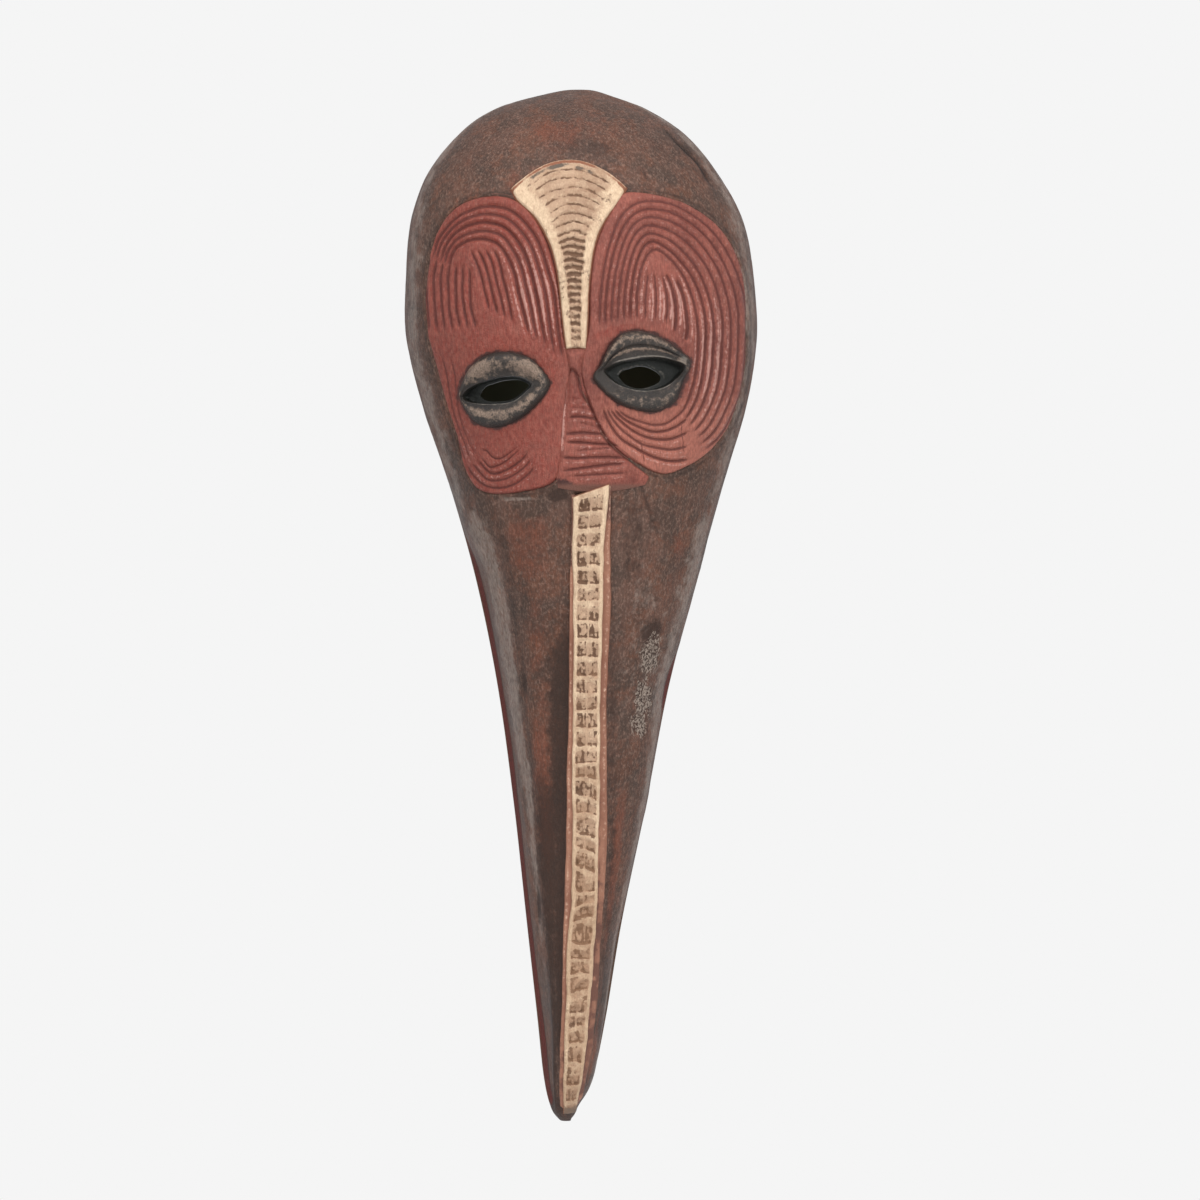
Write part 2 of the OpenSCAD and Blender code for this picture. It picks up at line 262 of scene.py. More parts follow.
# Down the beak: left and right edges of the cream strip, then of the plain rails beside it.
strip_edges = np.array([
    [188, -2.4, 14.4, -3.4, 15.4], [196, -2.5, 14.2, -3.4, 15.3], [219, -3, 11.9, -3.9, 15],
    [242, -2.6, 11.6, -4.4, 15.4], [266, -2.6, 10.9, -4.7, 14.4], [289, -2.8, 10.2, -4.6, 13.3],
    [312, -3.1, 10, -5.4, 13.3], [336, -3.1, 9.8, -5.9, 13.5], [359, -3.1, 9.1, -6.2, 13.4],
    [383, -3.6, 8.6, -6.9, 11.8], [407, -5.7, 6.7, -7.9, 10], [430, -6, 5.3, -7.9, 8.6],
    [454, -7, 2.9, -8.9, 6.2], [470, -7.4, 1, -9.2, 3], [486, -7.6, -2, -9, -1.2]])

shell_rows, front_cols, hollow_cols = 470, 150, 34
# Rows lie closer together where the crown, the top of the hollow and the tip turn quickly.
v_fine = np.linspace(0, 490, 4901)
crowding = (1 + 5 * np.exp(-v_fine / 4) + 3 * bump(v_fine, 28, 5)
            + 5 * np.exp(-(490 - v_fine) / 4))
place = np.concatenate([[0], np.cumsum((crowding[1:] + crowding[:-1]) / 2)])
v_row = np.interp(np.linspace(0, place[-1], shell_rows), place, v_fine)[:, None]
v_row[0], v_row[-1] = 0.02, 489.98
middle, half, depth = block_at(v_row)
turn = np.linspace(0, np.pi, front_cols)
power = 2 / squareness
side = -np.sign(np.cos(turn)) * np.abs(np.cos(turn)) ** power
rim_round = np.minimum(1.2, 0.3 * depth)
front_x = middle + half * side
front_h = rim_round + (depth - rim_round) * np.sin(turn) ** power
# Round the back: rim corner, flat rim, gouged hollow, flat rim, rim corner.
corner = np.radians([25, 50, 75])
near_top = np.clip((v_row - hollow_top) / 45, 0, 1)
near_end = np.clip((hollow_end - v_row) / 90, 0, 1)
openness = np.sqrt(1 - (1 - near_top) ** 2) * np.sqrt(1 - (1 - near_end) ** 2)
wall = head_wall - (head_wall - beak_wall) * np.clip((v_row - 150) / 150, 0, 1)
hollow_half = np.where(half > wall + 3, half - wall, 0.5 * half) * (0.35 + 0.65 * openness)
hollow_depth = (depth - head_wall) * openness
back_turn = np.linspace(np.pi, 0, hollow_cols)
hollow_x = middle - hollow_half * np.sign(np.cos(back_turn)) * np.abs(np.cos(back_turn)) ** power
hollow_h = hollow_depth * np.sin(back_turn) ** power
corner_x = half - rim_round * (1 - np.cos(corner))
corner_h = rim_round * (1 - np.sin(corner))
flat = np.array([0, 0.5])
rim_cols = len(corner) + len(flat)
flat_x = (half - rim_round) * (1 - flat) + hollow_half * flat
shell_x = np.hstack([front_x, middle + corner_x, middle + flat_x, hollow_x,
                     middle - flat_x[:, ::-1], middle - corner_x[:, ::-1]])
shell_h = np.hstack([front_h, corner_h, 0 * flat_x, hollow_h, 0 * flat_x, corner_h[:, ::-1]])
shell = np.stack([shell_x, np.broadcast_to(v_row, shell_x.shape), shell_h], -1)
is_front = np.zeros(shell_x.shape)
is_front[:, :front_cols] = 1
is_hollow = np.zeros(shell_x.shape)
is_hollow[:, front_cols + rim_cols:front_cols + rim_cols + hollow_cols] = 1
x, v, h = np.moveaxis(shell, -1, 0)

# Hand work on the outside: slow unevenness, long flats left by the adze, and the seats that the
# colour fields and strip are let into.
seat_deep = 3.2
carved = 0.45 * soft_noise(shell, 34, 1) + 0.2 * soft_noise(shell, 13, 2)
carved += 0.16 * soft_noise(shell * [1, 0.22, 1], 6, 3) + 0.05 * soft_noise(shell, 2.5, 4)
rail_left, rail_right = (np.interp(v, strip_edges[:, 0], strip_edges[:, k]) for k in (3, 4))
in_left = polar_inset(x, v, left_field_outline, left_eye_centre)
in_right = polar_inset(x, v, right_field_outline, right_eye_centre)
in_strip = np.minimum(np.minimum(x - rail_left, rail_right - x), np.minimum(v - 191, 484 - v))
in_nose = np.minimum(np.minimum(x + 8, 24 - x), np.minimum(v - 140, 184 - v))
seat = np.maximum(np.maximum(in_left, in_right), np.maximum(in_strip, in_nose))
between_fields = bump(v, 120, 45) * bump(x, -1, 7)
sunk = np.maximum(ease(1.0, 2.6, seat), ease(0.2, 0.6, between_fields))
carved = carved * (1 - 0.8 * ease(-1.5, 0.5, seat)) - seat_deep * sunk
# The beak's cheeks are scooped along the strip, more on the left, and its rim turns out a little.
beside = np.maximum(rail_left - x, x - rail_right)
along_beak = ease(225, 290, v) * (1 - ease(440, 480, v))
scoop = along_beak * bump(beside, 5, 7) * np.where(x < rail_left, 1.5, 0.9) * (beside > -2)
carved -= scoop
left_rim_line = (ease(205, 230, v) * (1 - ease(478, 486, v))) * (x < middle)
right_rim_line = bump(v, 282, 16) * (x > middle)
flare = 2.7 * left_rim_line + 2.0 * right_rim_line
# Marks: drying cracks, small dents, a rough patch where the skin of soot has flaked away.
cracked = np.zeros(x.shape)
for crack, strong, wide in (
        ([[28.5, 187], [32.5, 198.5], [34.5, 205], [37, 213]], 0.7, 0.8),
        ([[29, 41], [30.5, 43.5], [32.5, 47.5]], 0.7, 0.6),
        ([[38, 18.5], [44, 24.5], [49, 29.5], [56, 36.5], [61, 45.5], [64.5, 49.5]], 1.0, 0.75)):
    away, share = line_distance(x, v, drawn(crack, 40), 8)
    cracked = np.maximum(cracked, strong * bump(away, 0, wide) * np.sin(3.14 * share) ** 0.5)
# The wood has lifted a little beside the last crack, the one in the head.
chip = bump(away, 0, 5) * ease(0.1, 0.4, share) * (1 - ease(0.8, 1, share))
carved -= is_front * (0.9 * cracked + 0.2 * chip)
dent = (1.0 * bump(x, -27, 2.4) * bump(v, 281, 7) + 0.7 * bump(x, -21.5, 1.6) * bump(v, 386, 9)
        + 0.6 * bump(x, -17, 2) * bump(v, 372, 6))
flaked = ease(0.25, 0.6, np.maximum.reduce([
    bump(x, 34, 5) * bump(v, 268, 9), bump(x, 31, 5) * bump(v, 288, 10),
    bump(x, 28.5, 4) * bump(v, 301, 6)]) + 0.25 * soft_noise(shell, 3, 5)) * is_front
rough = soft_noise(shell, 1.7, 6)
carved += is_front * (-0.9 * dent - 0.35 * flaked + 0.25 * flaked * rough)
# Gouge cuts in the hollow: shallow scallops with sharp crests between them.
cell = np.stack([x / 11 + 0.3 * np.floor(v / 19), v / 19], -1)
inside_cell = cell - np.floor(cell) - 0.5
scallop = (inside_cell ** 2 * [1.0, 0.7]).sum(-1) * 2.2
gouged = openness * (1.1 * scallop + 0.3 * soft_noise(shell, 9, 7)) * is_hollow
tangent_v, tangent_u = np.gradient(shell, axis=0), np.roll(shell, -1, 1) - np.roll(shell, 1, 1)
normal = np.cross(tangent_v, tangent_u)
normal /= np.linalg.norm(normal, axis=-1, keepdims=True) + 1e-9
normal *= np.where(normal[:, :front_cols, 2].mean() > 0, 1, -1)
ends = ease(0, 3, v) * (1 - ease(487, 490, v))
outer_share = ease(0.55, 0.9, np.abs(x - middle) / half)
shell = shell + normal * ((carved * is_front + gouged) * ends)[..., None]
drawn_in = flare * (1 - bump(h, 0, 2.6)) * is_front * ends * outer_share
shell[..., 0] += drawn_in * np.where(x < middle, 1, -1)

# How far each place on a beak flank lies from the outer edge, 0, towards the strip, 1.
left_way = (x - middle + half) / (rail_left - middle + half)
right_way = (middle + half - x) / (middle + half - rail_right)
drift = 0.5 + 0.5 * soft_noise(shell * [1, 0.3, 1], 16, 8)
on_beak = ease(192, 212, v)
russet = drift * np.maximum.reduce([
    1.0 * bump(left_way, 0.6, 0.22) * on_beak * (1 - 0.6 * ease(320, 400, v)),
    0.75 * bump(v, 24, 15) * bump(x, -4, 42), 0.6 * bump(v, 48, 10) * bump(x, -8, 60),
    0.6 * bump(v, 60, 30) * bump(x, -55, 14),
    1.0 * ease(310, 350, v) * bump(right_way, 0.62, 0.2), 0.5 * on_beak * bump(right_way, 0.3, 0.1)])
# Painted sheen: a pale grey highlight painted where the front turns to the sides of head and beak,
# fading towards the back; it also greys the middle of the right flank and paints a pale scrape under
# the left field.
painted_sheen_and_scrape = np.maximum.reduce([
    1.1 * bump(left_way, 0.15 + 0.1 * ease(300, 340, v), 0.1) * on_beak * (1 - ease(300, 460, v)),
    0.8 * bump(right_way, 0.07, 0.12) * on_beak, 0.4 * bump(right_way, 0.55, 0.3) * bump(v, 250, 45),
    0.75 * ease(0.85, 0.98, np.abs(x - middle) / half) * (1 - on_beak),
    1.1 * bump(x, -28, 8) * bump(v, 195.4, 1.1)]) * ease(0.02, 0.45, h / depth)
# Soot and painted shade: painted shade in the scooped valleys beside the strip, just outside the red
# fields' edges, in the dents and below the nose panel's lower left corner; soot in patches on the
# flanks and head, over the flaked patch and chip, and towards the tip. The rim's painted shadow is
# joined to it below.
beside_face = np.minimum(-in_left, -in_right)
soot_and_shade = np.maximum.reduce([
    1.1 * along_beak * bump(left_way, 1.0, 0.34), 0.5 * along_beak * bump(beside, 3, 4),
    0.8 * ease(300, 350, v) * bump(left_way, 0.62, 0.34) * (0.6 + 0.6 * drift),
    0.45 * bump(left_way, 0.36, 0.09) * on_beak,
    0.9 * bump(x, 34, 6) * bump(v, 258, 8), 0.5 * bump(x, 26, 9) * bump(v, 215, 30),
    0.55 * bump(beside_face, 0.5, 1.3), 0.5 * chip, 0.7 * ease(455, 486, v), 0.7 * flaked,
    0.9 * bump(x, -27, 2.2) * bump(v, 281, 6), 1.2 * bump(x, -21.5, 1.3) * bump(v, 386, 9),
    1.1 * bump(x, -10, 6) * bump(v, 194, 3.5), 0.3 * bump(x, 38, 16) * bump(v, 30, 14),
    0.5 * bump(x, 5, 22) * bump(v, 33, 8)])
rim_shadow = 0.9 * (left_rim_line + right_rim_line) * bump(h, 4.2, 1.6)
masks = {"russet": russet * is_front, "soot_and_shade": np.maximum(soot_and_shade, rim_shadow) * is_front,
         "crack": cracked * is_front, "flaked": flaked, "inside": 1 - is_front,
         "painted_sheen_and_scrape": painted_sheen_and_scrape * is_front,
         "rim": is_front * np.maximum((left_rim_line + right_rim_line) * (1 - ease(3.4, 5.2, h)),
                                      0.6 * bump(h, 0.3, 0.9))}
block = wrap_skin("carved_block", in_frame(shell), masks)


def straight_cutter(name, outline, front, back):
    """A closed prism through a plan outline, from one height over the back plane to another."""
    ring = drawn(outline, 120, closed=True)
    loops = [np.column_stack([ring, np.full(len(ring), h)]) for h in (front, back)]
    return wrap_skin(name, in_frame(np.array(loops)), {})


def about(centre, points, share):
    """Points drawn in towards a centre to the given share of their distance."""
    return centre + share * (np.asarray(points, float) - centre)


nail = next(m for m in frame["record"]["mounts"] if m["name"] == "hanging_hole")
nail_r, nail_deep = (nail["dims"][k] / 1000 for k in ("r_mm", "length_mm"))
round_way = np.linspace(0, 2 * np.pi, 49)[:-1]
nail_ring = np.stack([nail_r * np.cos(round_way), 0 * round_way, nail_r * np.sin(round_way)], -1)
nail_loops = np.array([nail_ring + nail["pos_m"] + [0, y, 0] for y in (0.001, -nail_deep)])
cut_away(block,
         straight_cutter("left_hole", about(left_eye_centre, left_rim_outer, 0.99), 90, 5),
         straight_cutter("right_hole", about(right_eye_centre, right_rim_outer, 0.99), 90, 5),
         wrap_skin("nail_hole", nail_loops, {}))


def put(tree, kind, settings, sockets):
    """Adds a shader node. A socket, by name or number, gets a value or the output feeding it."""
    made = tree.nodes.new("ShaderNode" + kind)
    for key, value in settings.items():
        setattr(made, key, value)
    for key, value in sockets.items():
        if isinstance(value, bpy.types.NodeSocket):
            tree.links.new(value, made.inputs[key])
        else:
            made.inputs[key].default_value = value
    return made


def figure(tree, operation, *terms):
    """The outcome of one sum on its terms, which are numbers or outputs of other nodes."""
    return put(tree, "Math", {"operation": operation}, dict(enumerate(terms))).outputs[0]


def eased(tree, value, low, high):
    """The value eased from 0 at low to 1 at high."""
    sockets = {"Value": value, "From Min": low, "From Max": high}
    return put(tree, "MapRange", {"interpolation_type": "SMOOTHSTEP"}, sockets).outputs[0]


def tint(tree, share, ground, over):
    """Colour over laid on colour ground by the share."""
    return put(tree, "Mix", {"data_type": "RGBA"}, {0: share, 6: ground, 7: over}).outputs[2]


def paint(r, g, b):
    """A colour from its screen values, 0 to 255, with the screen's curve taken off."""
    c = np.array([r, g, b]) / 255
    c = np.where(c <= 0.04045, c / 12.92, ((c + 0.055) / 1.055) ** 2.4)
    return (*c, 1.0)


def wash(tree, ground, mask, share, over):
    """Paint over, in screen values, laid on the ground colour by a share of a mask."""
    return tint(tree, figure(tree, "MULTIPLY", mask, share), ground, paint(*over))


def kept(tree, name):
    """A mask that the mesh carries."""
    return put(tree, "Attribute", {"attribute_name": name}, {}).outputs["Fac"]


def new_group(name, inputs, outputs):
    """An empty shader node group with those sockets; gives the group and its end nodes."""
    group = bpy.data.node_groups.new(name, "ShaderNodeTree")
    for label, kind, value in inputs:
        made = group.interface.new_socket(label, in_out="INPUT", socket_type="NodeSocket" + kind)
        if value is not None:
            made.default_value = value
    for label, kind in outputs:
        group.interface.new_socket(label, in_out="OUTPUT", socket_type="NodeSocket" + kind)
    return group, group.nodes.new("NodeGroupInput").outputs, group.nodes.new("NodeGroupOutput").inputs


# Hand-worked wood: long streaks with the grain, short open pores, slow patches and fine tooth.
wood_grain, given, gives = new_group(
    "wood_grain", [("Place", "Vector", None), ("Coarseness", "Float", 1.0)],
    [("Streaks", "Float"), ("Pores", "Float"), ("Patches", "Float"), ("Tooth", "Float")])
for label, scale, stretch, detail in (("Streaks", 430, 0.07, 5), ("Pores", 1500, 0.13, 2),
                                      ("Patches", 42, 0.55, 6), ("Tooth", 1500, 0.7, 4)):
    drawn_out = put(wood_grain, "VectorMath", {"operation": "MULTIPLY"},
                    {0: given["Place"], 1: (1, 1, stretch)}).outputs[0]
    size = figure(wood_grain, "DIVIDE", scale, given["Coarseness"])
    cloud = put(wood_grain, "TexNoise", {},
                {"Vector": drawn_out, "Scale": size, "Detail": detail, "Roughness": 0.62})
    wood_grain.links.new(eased(wood_grain, cloud.outputs["Fac"], 0.3, 0.7), gives[label])

# Rubbing and dirt: a carved depth or height, broken up by noise into a patchy mask.
broken_mask, given, gives = new_group(
    "broken_mask", [("Place", "Vector", None), ("Amount", "Float", 0.5), ("Break", "Float", 0.5),
                    ("Grain size", "Float", 500.0)], [("Mask", "Float")])
cloud = put(broken_mask, "TexNoise", {}, {"Vector": given["Place"], "Scale": given["Grain size"],
                                          "Detail": 5, "Roughness": 0.7}).outputs["Fac"]
swing = figure(broken_mask, "MULTIPLY", figure(broken_mask, "SUBTRACT", cloud, 0.5),
               given["Break"])
patches = eased(broken_mask, figure(broken_mask, "MULTIPLY_ADD", swing, 2.0, given["Amount"]),
                0.25, 0.75)
asked = eased(broken_mask, given["Amount"], 0.0, 0.15)
broken_mask.links.new(figure(broken_mask, "MULTIPLY", patches, asked), gives["Mask"])


def use(tree, group, sockets):
    """Places a node group in a material, with its own values."""
    return put(tree, "Group", {"node_tree": group}, sockets).outputs


def broken(tree, where, amount, breakup, size):
    """A patchy mask from an amount, through the group broken_mask."""
    return use(tree, broken_mask, {"Place": where, "Amount": amount, "Break": breakup,
                                   "Grain size": size})["Mask"]


def new_finish(name):
    """A material with its surface shader and the piece's own coordinates."""
    finish = bpy.data.materials.new(name)
    finish.use_nodes = True
    tree = finish.node_tree
    return finish, tree, tree.nodes["Principled BSDF"], put(tree, "TexCoord", {}, {}).outputs["Object"]


def feel(tree, surface, colour, roughness, height, deep, gloss):
    """Joins colour, roughness and a bump of the given depth in metres to the surface, and sets
    how strongly it reflects."""
    tree.links.new(colour, surface.inputs["Base Color"])
    tree.links.new(roughness, surface.inputs["Roughness"])
    bumped = put(tree, "Bump", {}, {"Strength": 1.0, "Distance": deep, "Height": height})
    tree.links.new(bumped.outputs[0], surface.inputs["Normal"])
    surface.inputs["Specular IOR Level"].default_value = gloss


# Sooted wood: brown over grey-brown in slow patches, red-brown where rubbed through, near black
# in cracks, and darkened in hollows with soot and painted shade; a painted grey sheen where the
# front turns to the sides, and a pale scrape under the left field.
dark_wood, tree, surface, here = new_finish("sooted_wood")
grain = use(tree, wood_grain, {"Place": here, "Coarseness": 1.0})
broad = use(tree, wood_grain, {"Place": here, "Coarseness": 2.7})
colour = tint(tree, grain["Patches"], paint(68, 51, 42), paint(106, 78, 66))
colour = wash(tree, colour, broad["Streaks"], 0.4, (108, 64, 46))
mottled = broken(tree, here, 0.42, 2.2, 80)
colour = wash(tree, colour, mottled, 0.5, (54, 46, 39))
rusty = broken(tree, here, 0.32, 2.6, 62)
colour = wash(tree, colour, rusty, 0.34, (122, 70, 45))
colour = wash(tree, colour, broad["Tooth"], 0.5, (54, 38, 30))
fleck = use(tree, wood_grain, {"Place": here, "Coarseness": 1.7})["Tooth"]
colour = wash(tree, colour, eased(tree, fleck, 0.45, 1.0), 0.42, (140, 112, 98))
worn_red = broken(tree, here, kept(tree, "russet"), 0.7, 110)
colour = wash(tree, colour, worn_red, 0.5, (120, 62, 41))
# A painted grey highlight, broken up by the coarse tooth.
painted_shine = broken(tree, here, kept(tree, "painted_sheen_and_scrape"), 1.0, 120)
painted_shine = figure(tree, "MULTIPLY", painted_shine, eased(tree, broad["Tooth"], -0.4, 0.8))
colour = wash(tree, colour, painted_shine, 0.6, (154, 138, 127))
# Soot, with painted shade in the valleys, dents and along the red fields.
sooty_and_shaded = broken(tree, here, kept(tree, "soot_and_shade"), 0.6, 200)
colour = wash(tree, colour, sooty_and_shaded, 0.85, (44, 26, 17))
colour = wash(tree, colour, grain["Streaks"], 0.25, (50, 36, 29))
colour = wash(tree, colour, broken(tree, here, kept(tree, "rim"), 0.3, 400), 1.0, (84, 34, 28))
flakes = broken(tree, here, figure(tree, "MULTIPLY", kept(tree, "flaked"), 0.5), 2.8, 900)
colour = wash(tree, colour, flakes, 0.7, (168, 152, 138))
colour = wash(tree, colour, grain["Pores"], 0.4, (38, 28, 23))
colour = wash(tree, colour, kept(tree, "crack"), 0.9, (22, 16, 13))
raw = tint(tree, grain["Streaks"], paint(70, 50, 38), paint(104, 78, 58))
colour = tint(tree, kept(tree, "inside"), colour, raw)
rough = figure(tree, "MULTIPLY_ADD", grain["Patches"], 0.2, 0.4)
rough = figure(tree, "MULTIPLY_ADD", kept(tree, "inside"), 0.25, rough)
relief = figure(tree, "MULTIPLY_ADD", grain["Streaks"], 0.6, grain["Tooth"])
relief = figure(tree, "MULTIPLY_ADD", grain["Pores"], -0.5, relief)
feel(tree, surface, colour, rough, relief, 0.00014, 0.22)
block.data.materials.append(dark_wood)
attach(block, "root")
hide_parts("crown", "mask_shell")

# ---- Red cheek fields -----------------------------------------------------------------------
# Two fields cut a little into the block round the eyes, each grooved with a narrow gouge in
# nested arches and rubbed with red earth pigment, painted darker in the grooves with dirt and
# painted shade, and paler on the ridges with wear and painted glints.

# A family of grooves: outermost and innermost line, how many, depth, half-width, end taper,
# and how much the ridges beside them are paled, by worn pigment and by painted glints.
left_grooves = [
    ([[-69, 86], [-66, 75], [-60, 67], [-53.5, 62.5], [-45.5, 60], [-38.5, 60], [-31.5, 62],
      [-25, 67.5], [-19, 76], [-15, 87.5], [-11.5, 100.5], [-9.5, 118], [-7, 134.5]],
     [[-60.5, 90], [-59.5, 83], [-56.5, 78.5], [-52, 76], [-47, 75], [-42, 75.5], [-37, 78],
      [-33.5, 83], [-30, 91], [-28, 100], [-25.5, 109.5], [-23.5, 117.5], [-22, 122.5]],
     5, 1.35, 0.95, 0.07, 0.6),
    ([[-40.5, 78], [-37, 85], [-35, 94.5], [-32.5, 103.5], [-30, 116.5]],
     [[-50.5, 79], [-48, 84.5], [-45, 93], [-43, 101.5], [-41, 110]], 4, 1.1, 0.75, 0.15, 0.35),
    ([[-68.5, 79], [-71, 90.5], [-71, 104.5], [-69, 120]],
     [[-50.5, 85.5], [-50.5, 96.5], [-49.5, 108], [-46.5, 120]], 7, 1.1, 0.9, 0.2, 0.35),
    ([[-70, 120], [-67, 131], [-62.5, 148], [-58, 163], [-53, 176], [-49, 183.5]],
     [[-61.5, 123.5], [-57.5, 136], [-56.8, 148], [-54, 160.5], [-49.5, 171], [-44, 180]],
     3, 0.5, 0.75, 0.2, 0.3),
    ([[-52.5, 178], [-48.5, 184.5], [-43, 189], [-36.5, 190], [-29.5, 188.5], [-23, 184],
      [-19, 178.5]],
     [[-47, 176], [-44, 180.5], [-40.5, 183.5], [-35.5, 183], [-30.5, 180.5], [-25.5, 176.5],
      [-22.5, 172]], 3, 0.8, 0.75, 0.12, 0.1),
    ([[-47, 172.5], [-43, 173], [-40, 176], [-37, 177], [-32.5, 175], [-29, 172], [-25, 168.5]],
     [[-46, 175.5], [-43.5, 178], [-41, 180.5], [-37.5, 180], [-33, 177.5], [-29, 174],
      [-25.5, 171]], 2, 0.8, 0.6, 0.15, 0.1)]
right_grooves = [
    ([[9.5, 121.5], [10, 106.5], [11.5, 92.5], [14.5, 78.5], [20, 65], [27.5, 58.5],
      [36.5, 57.5], [46, 59.5], [58, 66.5], [68.5, 78], [75, 91.5], [78.5, 107], [78, 125],
      [76.5, 141.5], [72, 155.5], [64.5, 167.5], [54.5, 175]],
     [[27, 115], [27, 103], [28.5, 92], [31, 84.5], [34.5, 80.5], [38.5, 81.5], [44.5, 87],
      [49.5, 94.5], [53, 103.5], [55, 113.5], [55.5, 124], [54.5, 136], [51.5, 148],
      [46.5, 158]], 7, 1.1, 0.85, 0.05, 0.5),
    ([[31, 115], [31, 102.5], [32, 89]], [[40.5, 117], [41, 104], [38, 90]],
     3, 0.75, 0.8, 0.2, 0.45),
    ([[44.5, 120], [45.5, 109], [44, 100], [40, 90]], [[50, 124], [50.5, 113.5], [49, 103.5],
      [45, 93]], 2, 1.25, 0.95, 0.12, 0.6),
    ([[10.5, 152], [14, 160], [19.5, 167.5], [27.5, 173], [35.5, 176.5], [43.5, 178], [53, 176.5]],
     [[17.5, 153.5], [22.5, 157.5], [29, 160], [35.5, 161.5], [41.5, 160], [47, 156],
      [51.5, 150.5]], 5, 0.95, 0.85, 0.1, 0.2),
    ([[47.5, 159.5], [48, 168], [49, 175.5]], [[28.5, 168.5], [29.5, 174], [31, 179.5]],
     2, 0.5, 0.5, 0.2, 0.1)]


def rubbing_and_glint(x, v):
    """Where the ridges are paled most, by rubbing and by painted glints: beside the nose, on the brow
    over the right eye and down the right cheek; little elsewhere."""
    most = np.maximum.reduce([bump(x, -20, 12) * bump(v, 105, 22), bump(x, 40, 14) * bump(v, 106, 14),
                              bump(x, 60, 9) * bump(v, 130, 26), bump(v, 182, 14)])
    return 0.3 + 1.1 * most


def on_plan(x, v):
    """Points at x and v with no height, where noise is to follow the plan only."""
    return np.stack([x, v, 0 * x], -1)


def grooved(x, v, families, seed):
    """Depth cut by the families of grooves, how much darker they are painted, for dirt and for
    shade, and the paling of the ridges beside them, by wear and by painted glints: a groove is
    a bell curve of the distance from its line, the lines of a family are mixed in even steps
    from outermost to innermost, and each line wavers a little as a hand does."""
    depth, dark_in_cuts, wear_and_glint = np.zeros(x.shape), np.zeros(x.shape), np.zeros(x.shape)
    chance = np.random.default_rng(seed)
    for outermost, innermost, count, deep, width, taper, rubbed_and_highlight in families:
        first, last = drawn(outermost, 60), drawn(innermost, 60)
        for share in np.linspace(0, 1, count):
            line = first * (1 - share) + last * share
            steps = np.linspace(0, 6, 60) + 50 * chance.random()
            waver = np.stack([soft_noise(on_plan(steps, 0 * steps + k), 1, seed)
                              for k in (3.5, 7.5)], -1)
            line = line + 0.35 * waver
            away, along = line_distance(x, v, line, 5)
            fade = ease(0, taper, along) * ease(0, taper, 1 - along)
            strength = deep * (0.8 + 0.4 * chance.random())
            cut = strength * fade * (0.8 * bump(away, 0, width) + 0.25 * bump(away, 0, 1.7 * width))
            depth = np.maximum(depth, cut)
            dark_in_cuts = np.maximum(dark_in_cuts, np.minimum(1, 0.45 + 0.55 * strength) * fade
                              * bump(away, 0, width * 0.8))
            wear_and_glint = np.maximum(wear_and_glint, (0.15 + rubbed_and_highlight) * fade * bump(away, 1.75, 0.6))
    return depth, dark_in_cuts, wear_and_glint * (1 - dark_in_cuts) * rubbing_and_glint(x, v)


def cheek_field(name, node, outline, eye_outline, eye_centre, families, smooth_at, seed):
    """A field on rays from the eye's edge to the outline: grooved top, an incised line inside
    its edge, a straight side let into the block and a plain underside, closed as a ring."""
    rays, rings, let_in = 620, 132, 2.6
    edge = drawn(outline, rays, closed=True)
    way = edge - eye_centre
    eye_r = 0.94 * reach_of(eye_outline, eye_centre, np.arctan2(way[:, 1], way[:, 0]))
    unit = way / np.linalg.norm(way, axis=1, keepdims=True)
    inner = eye_centre + unit * eye_r[:, None]
    share = np.linspace(0, 1, rings)[:, None, None]
    plan = inner * (1 - share) + edge * share
    x, v = plan[..., 0], plan[..., 1]
    inside, _ = line_distance(x, v, np.vstack([edge, edge[:1]]), 12)
    from_eye, _ = line_distance(x, v, np.vstack([eye_outline, eye_outline[:1]]), 12)
    depth, dark_in_cuts, wear_and_glint = grooved(x, v, families, seed)
    calm = 1 - smooth_at(x, v)
    flat = on_plan(x, v)
    level = 0.85 * ease(0.9, 2.4, inside) + 0.22 * soft_noise(flat, 9, seed + 1)
    level += 0.12 * soft_noise(flat, 3, seed + 2) + 0.06 * soft_noise(flat, 1.2, seed + 3)
    rim_cut = bump(inside, 0.95, 0.6)
    pinch = bump(from_eye, 0, 1.3)
    lift = level - depth * calm - 0.75 * rim_cut - 0.3 * pinch
    top = on_front(x, v, lift)
    under_share = np.array([1.0, 0.98, 0.66, 0.33, 0.0])[:, None, None]
    low_plan = inner * (1 - under_share) + edge * under_share
    low = on_front(low_plan[..., 0], low_plan[..., 1], np.full(low_plan.shape[:2], -let_in))
    quiet = np.zeros((len(under_share), rays))
    # The groove mask is dirt and painted shade in the grooves and the incised line; the next is wear
    # and painted glints on the ridges.
    marks = {"groove": np.maximum(dark_in_cuts * calm, 0.9 * rim_cut), "worn_and_highlight": wear_and_glint * calm,
             "lip": 1 - ease(0.3, 0.9, inside),
             "fresh": np.maximum(smooth_at(x, v), 0.6 * ease(0, -12, x)),
             "smudge": 0.8 * bump(from_eye, 0, 1.6),
             "mealy": ease(-5, 25, x) * (0.25 + 0.75 * bump(v, 172, 22))}
    marks = {key: np.vstack([values, quiet]) for key, values in marks.items()}
    field = wrap_skin(name, in_frame(np.vstack([top, low])), marks, ring=True)
    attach(field, "root")
    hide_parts(node)
    return field


def left_smooth(x, v):
    """Where the left field was left ungrooved: above and below the eye."""
    above = bump(v, 124, 6.5) * bump(x, -38, 19)
    below = bump(v, 166, 6) * bump(x, -28, 17)
    return np.clip(1.25 * np.maximum(above, below), 0, 1)


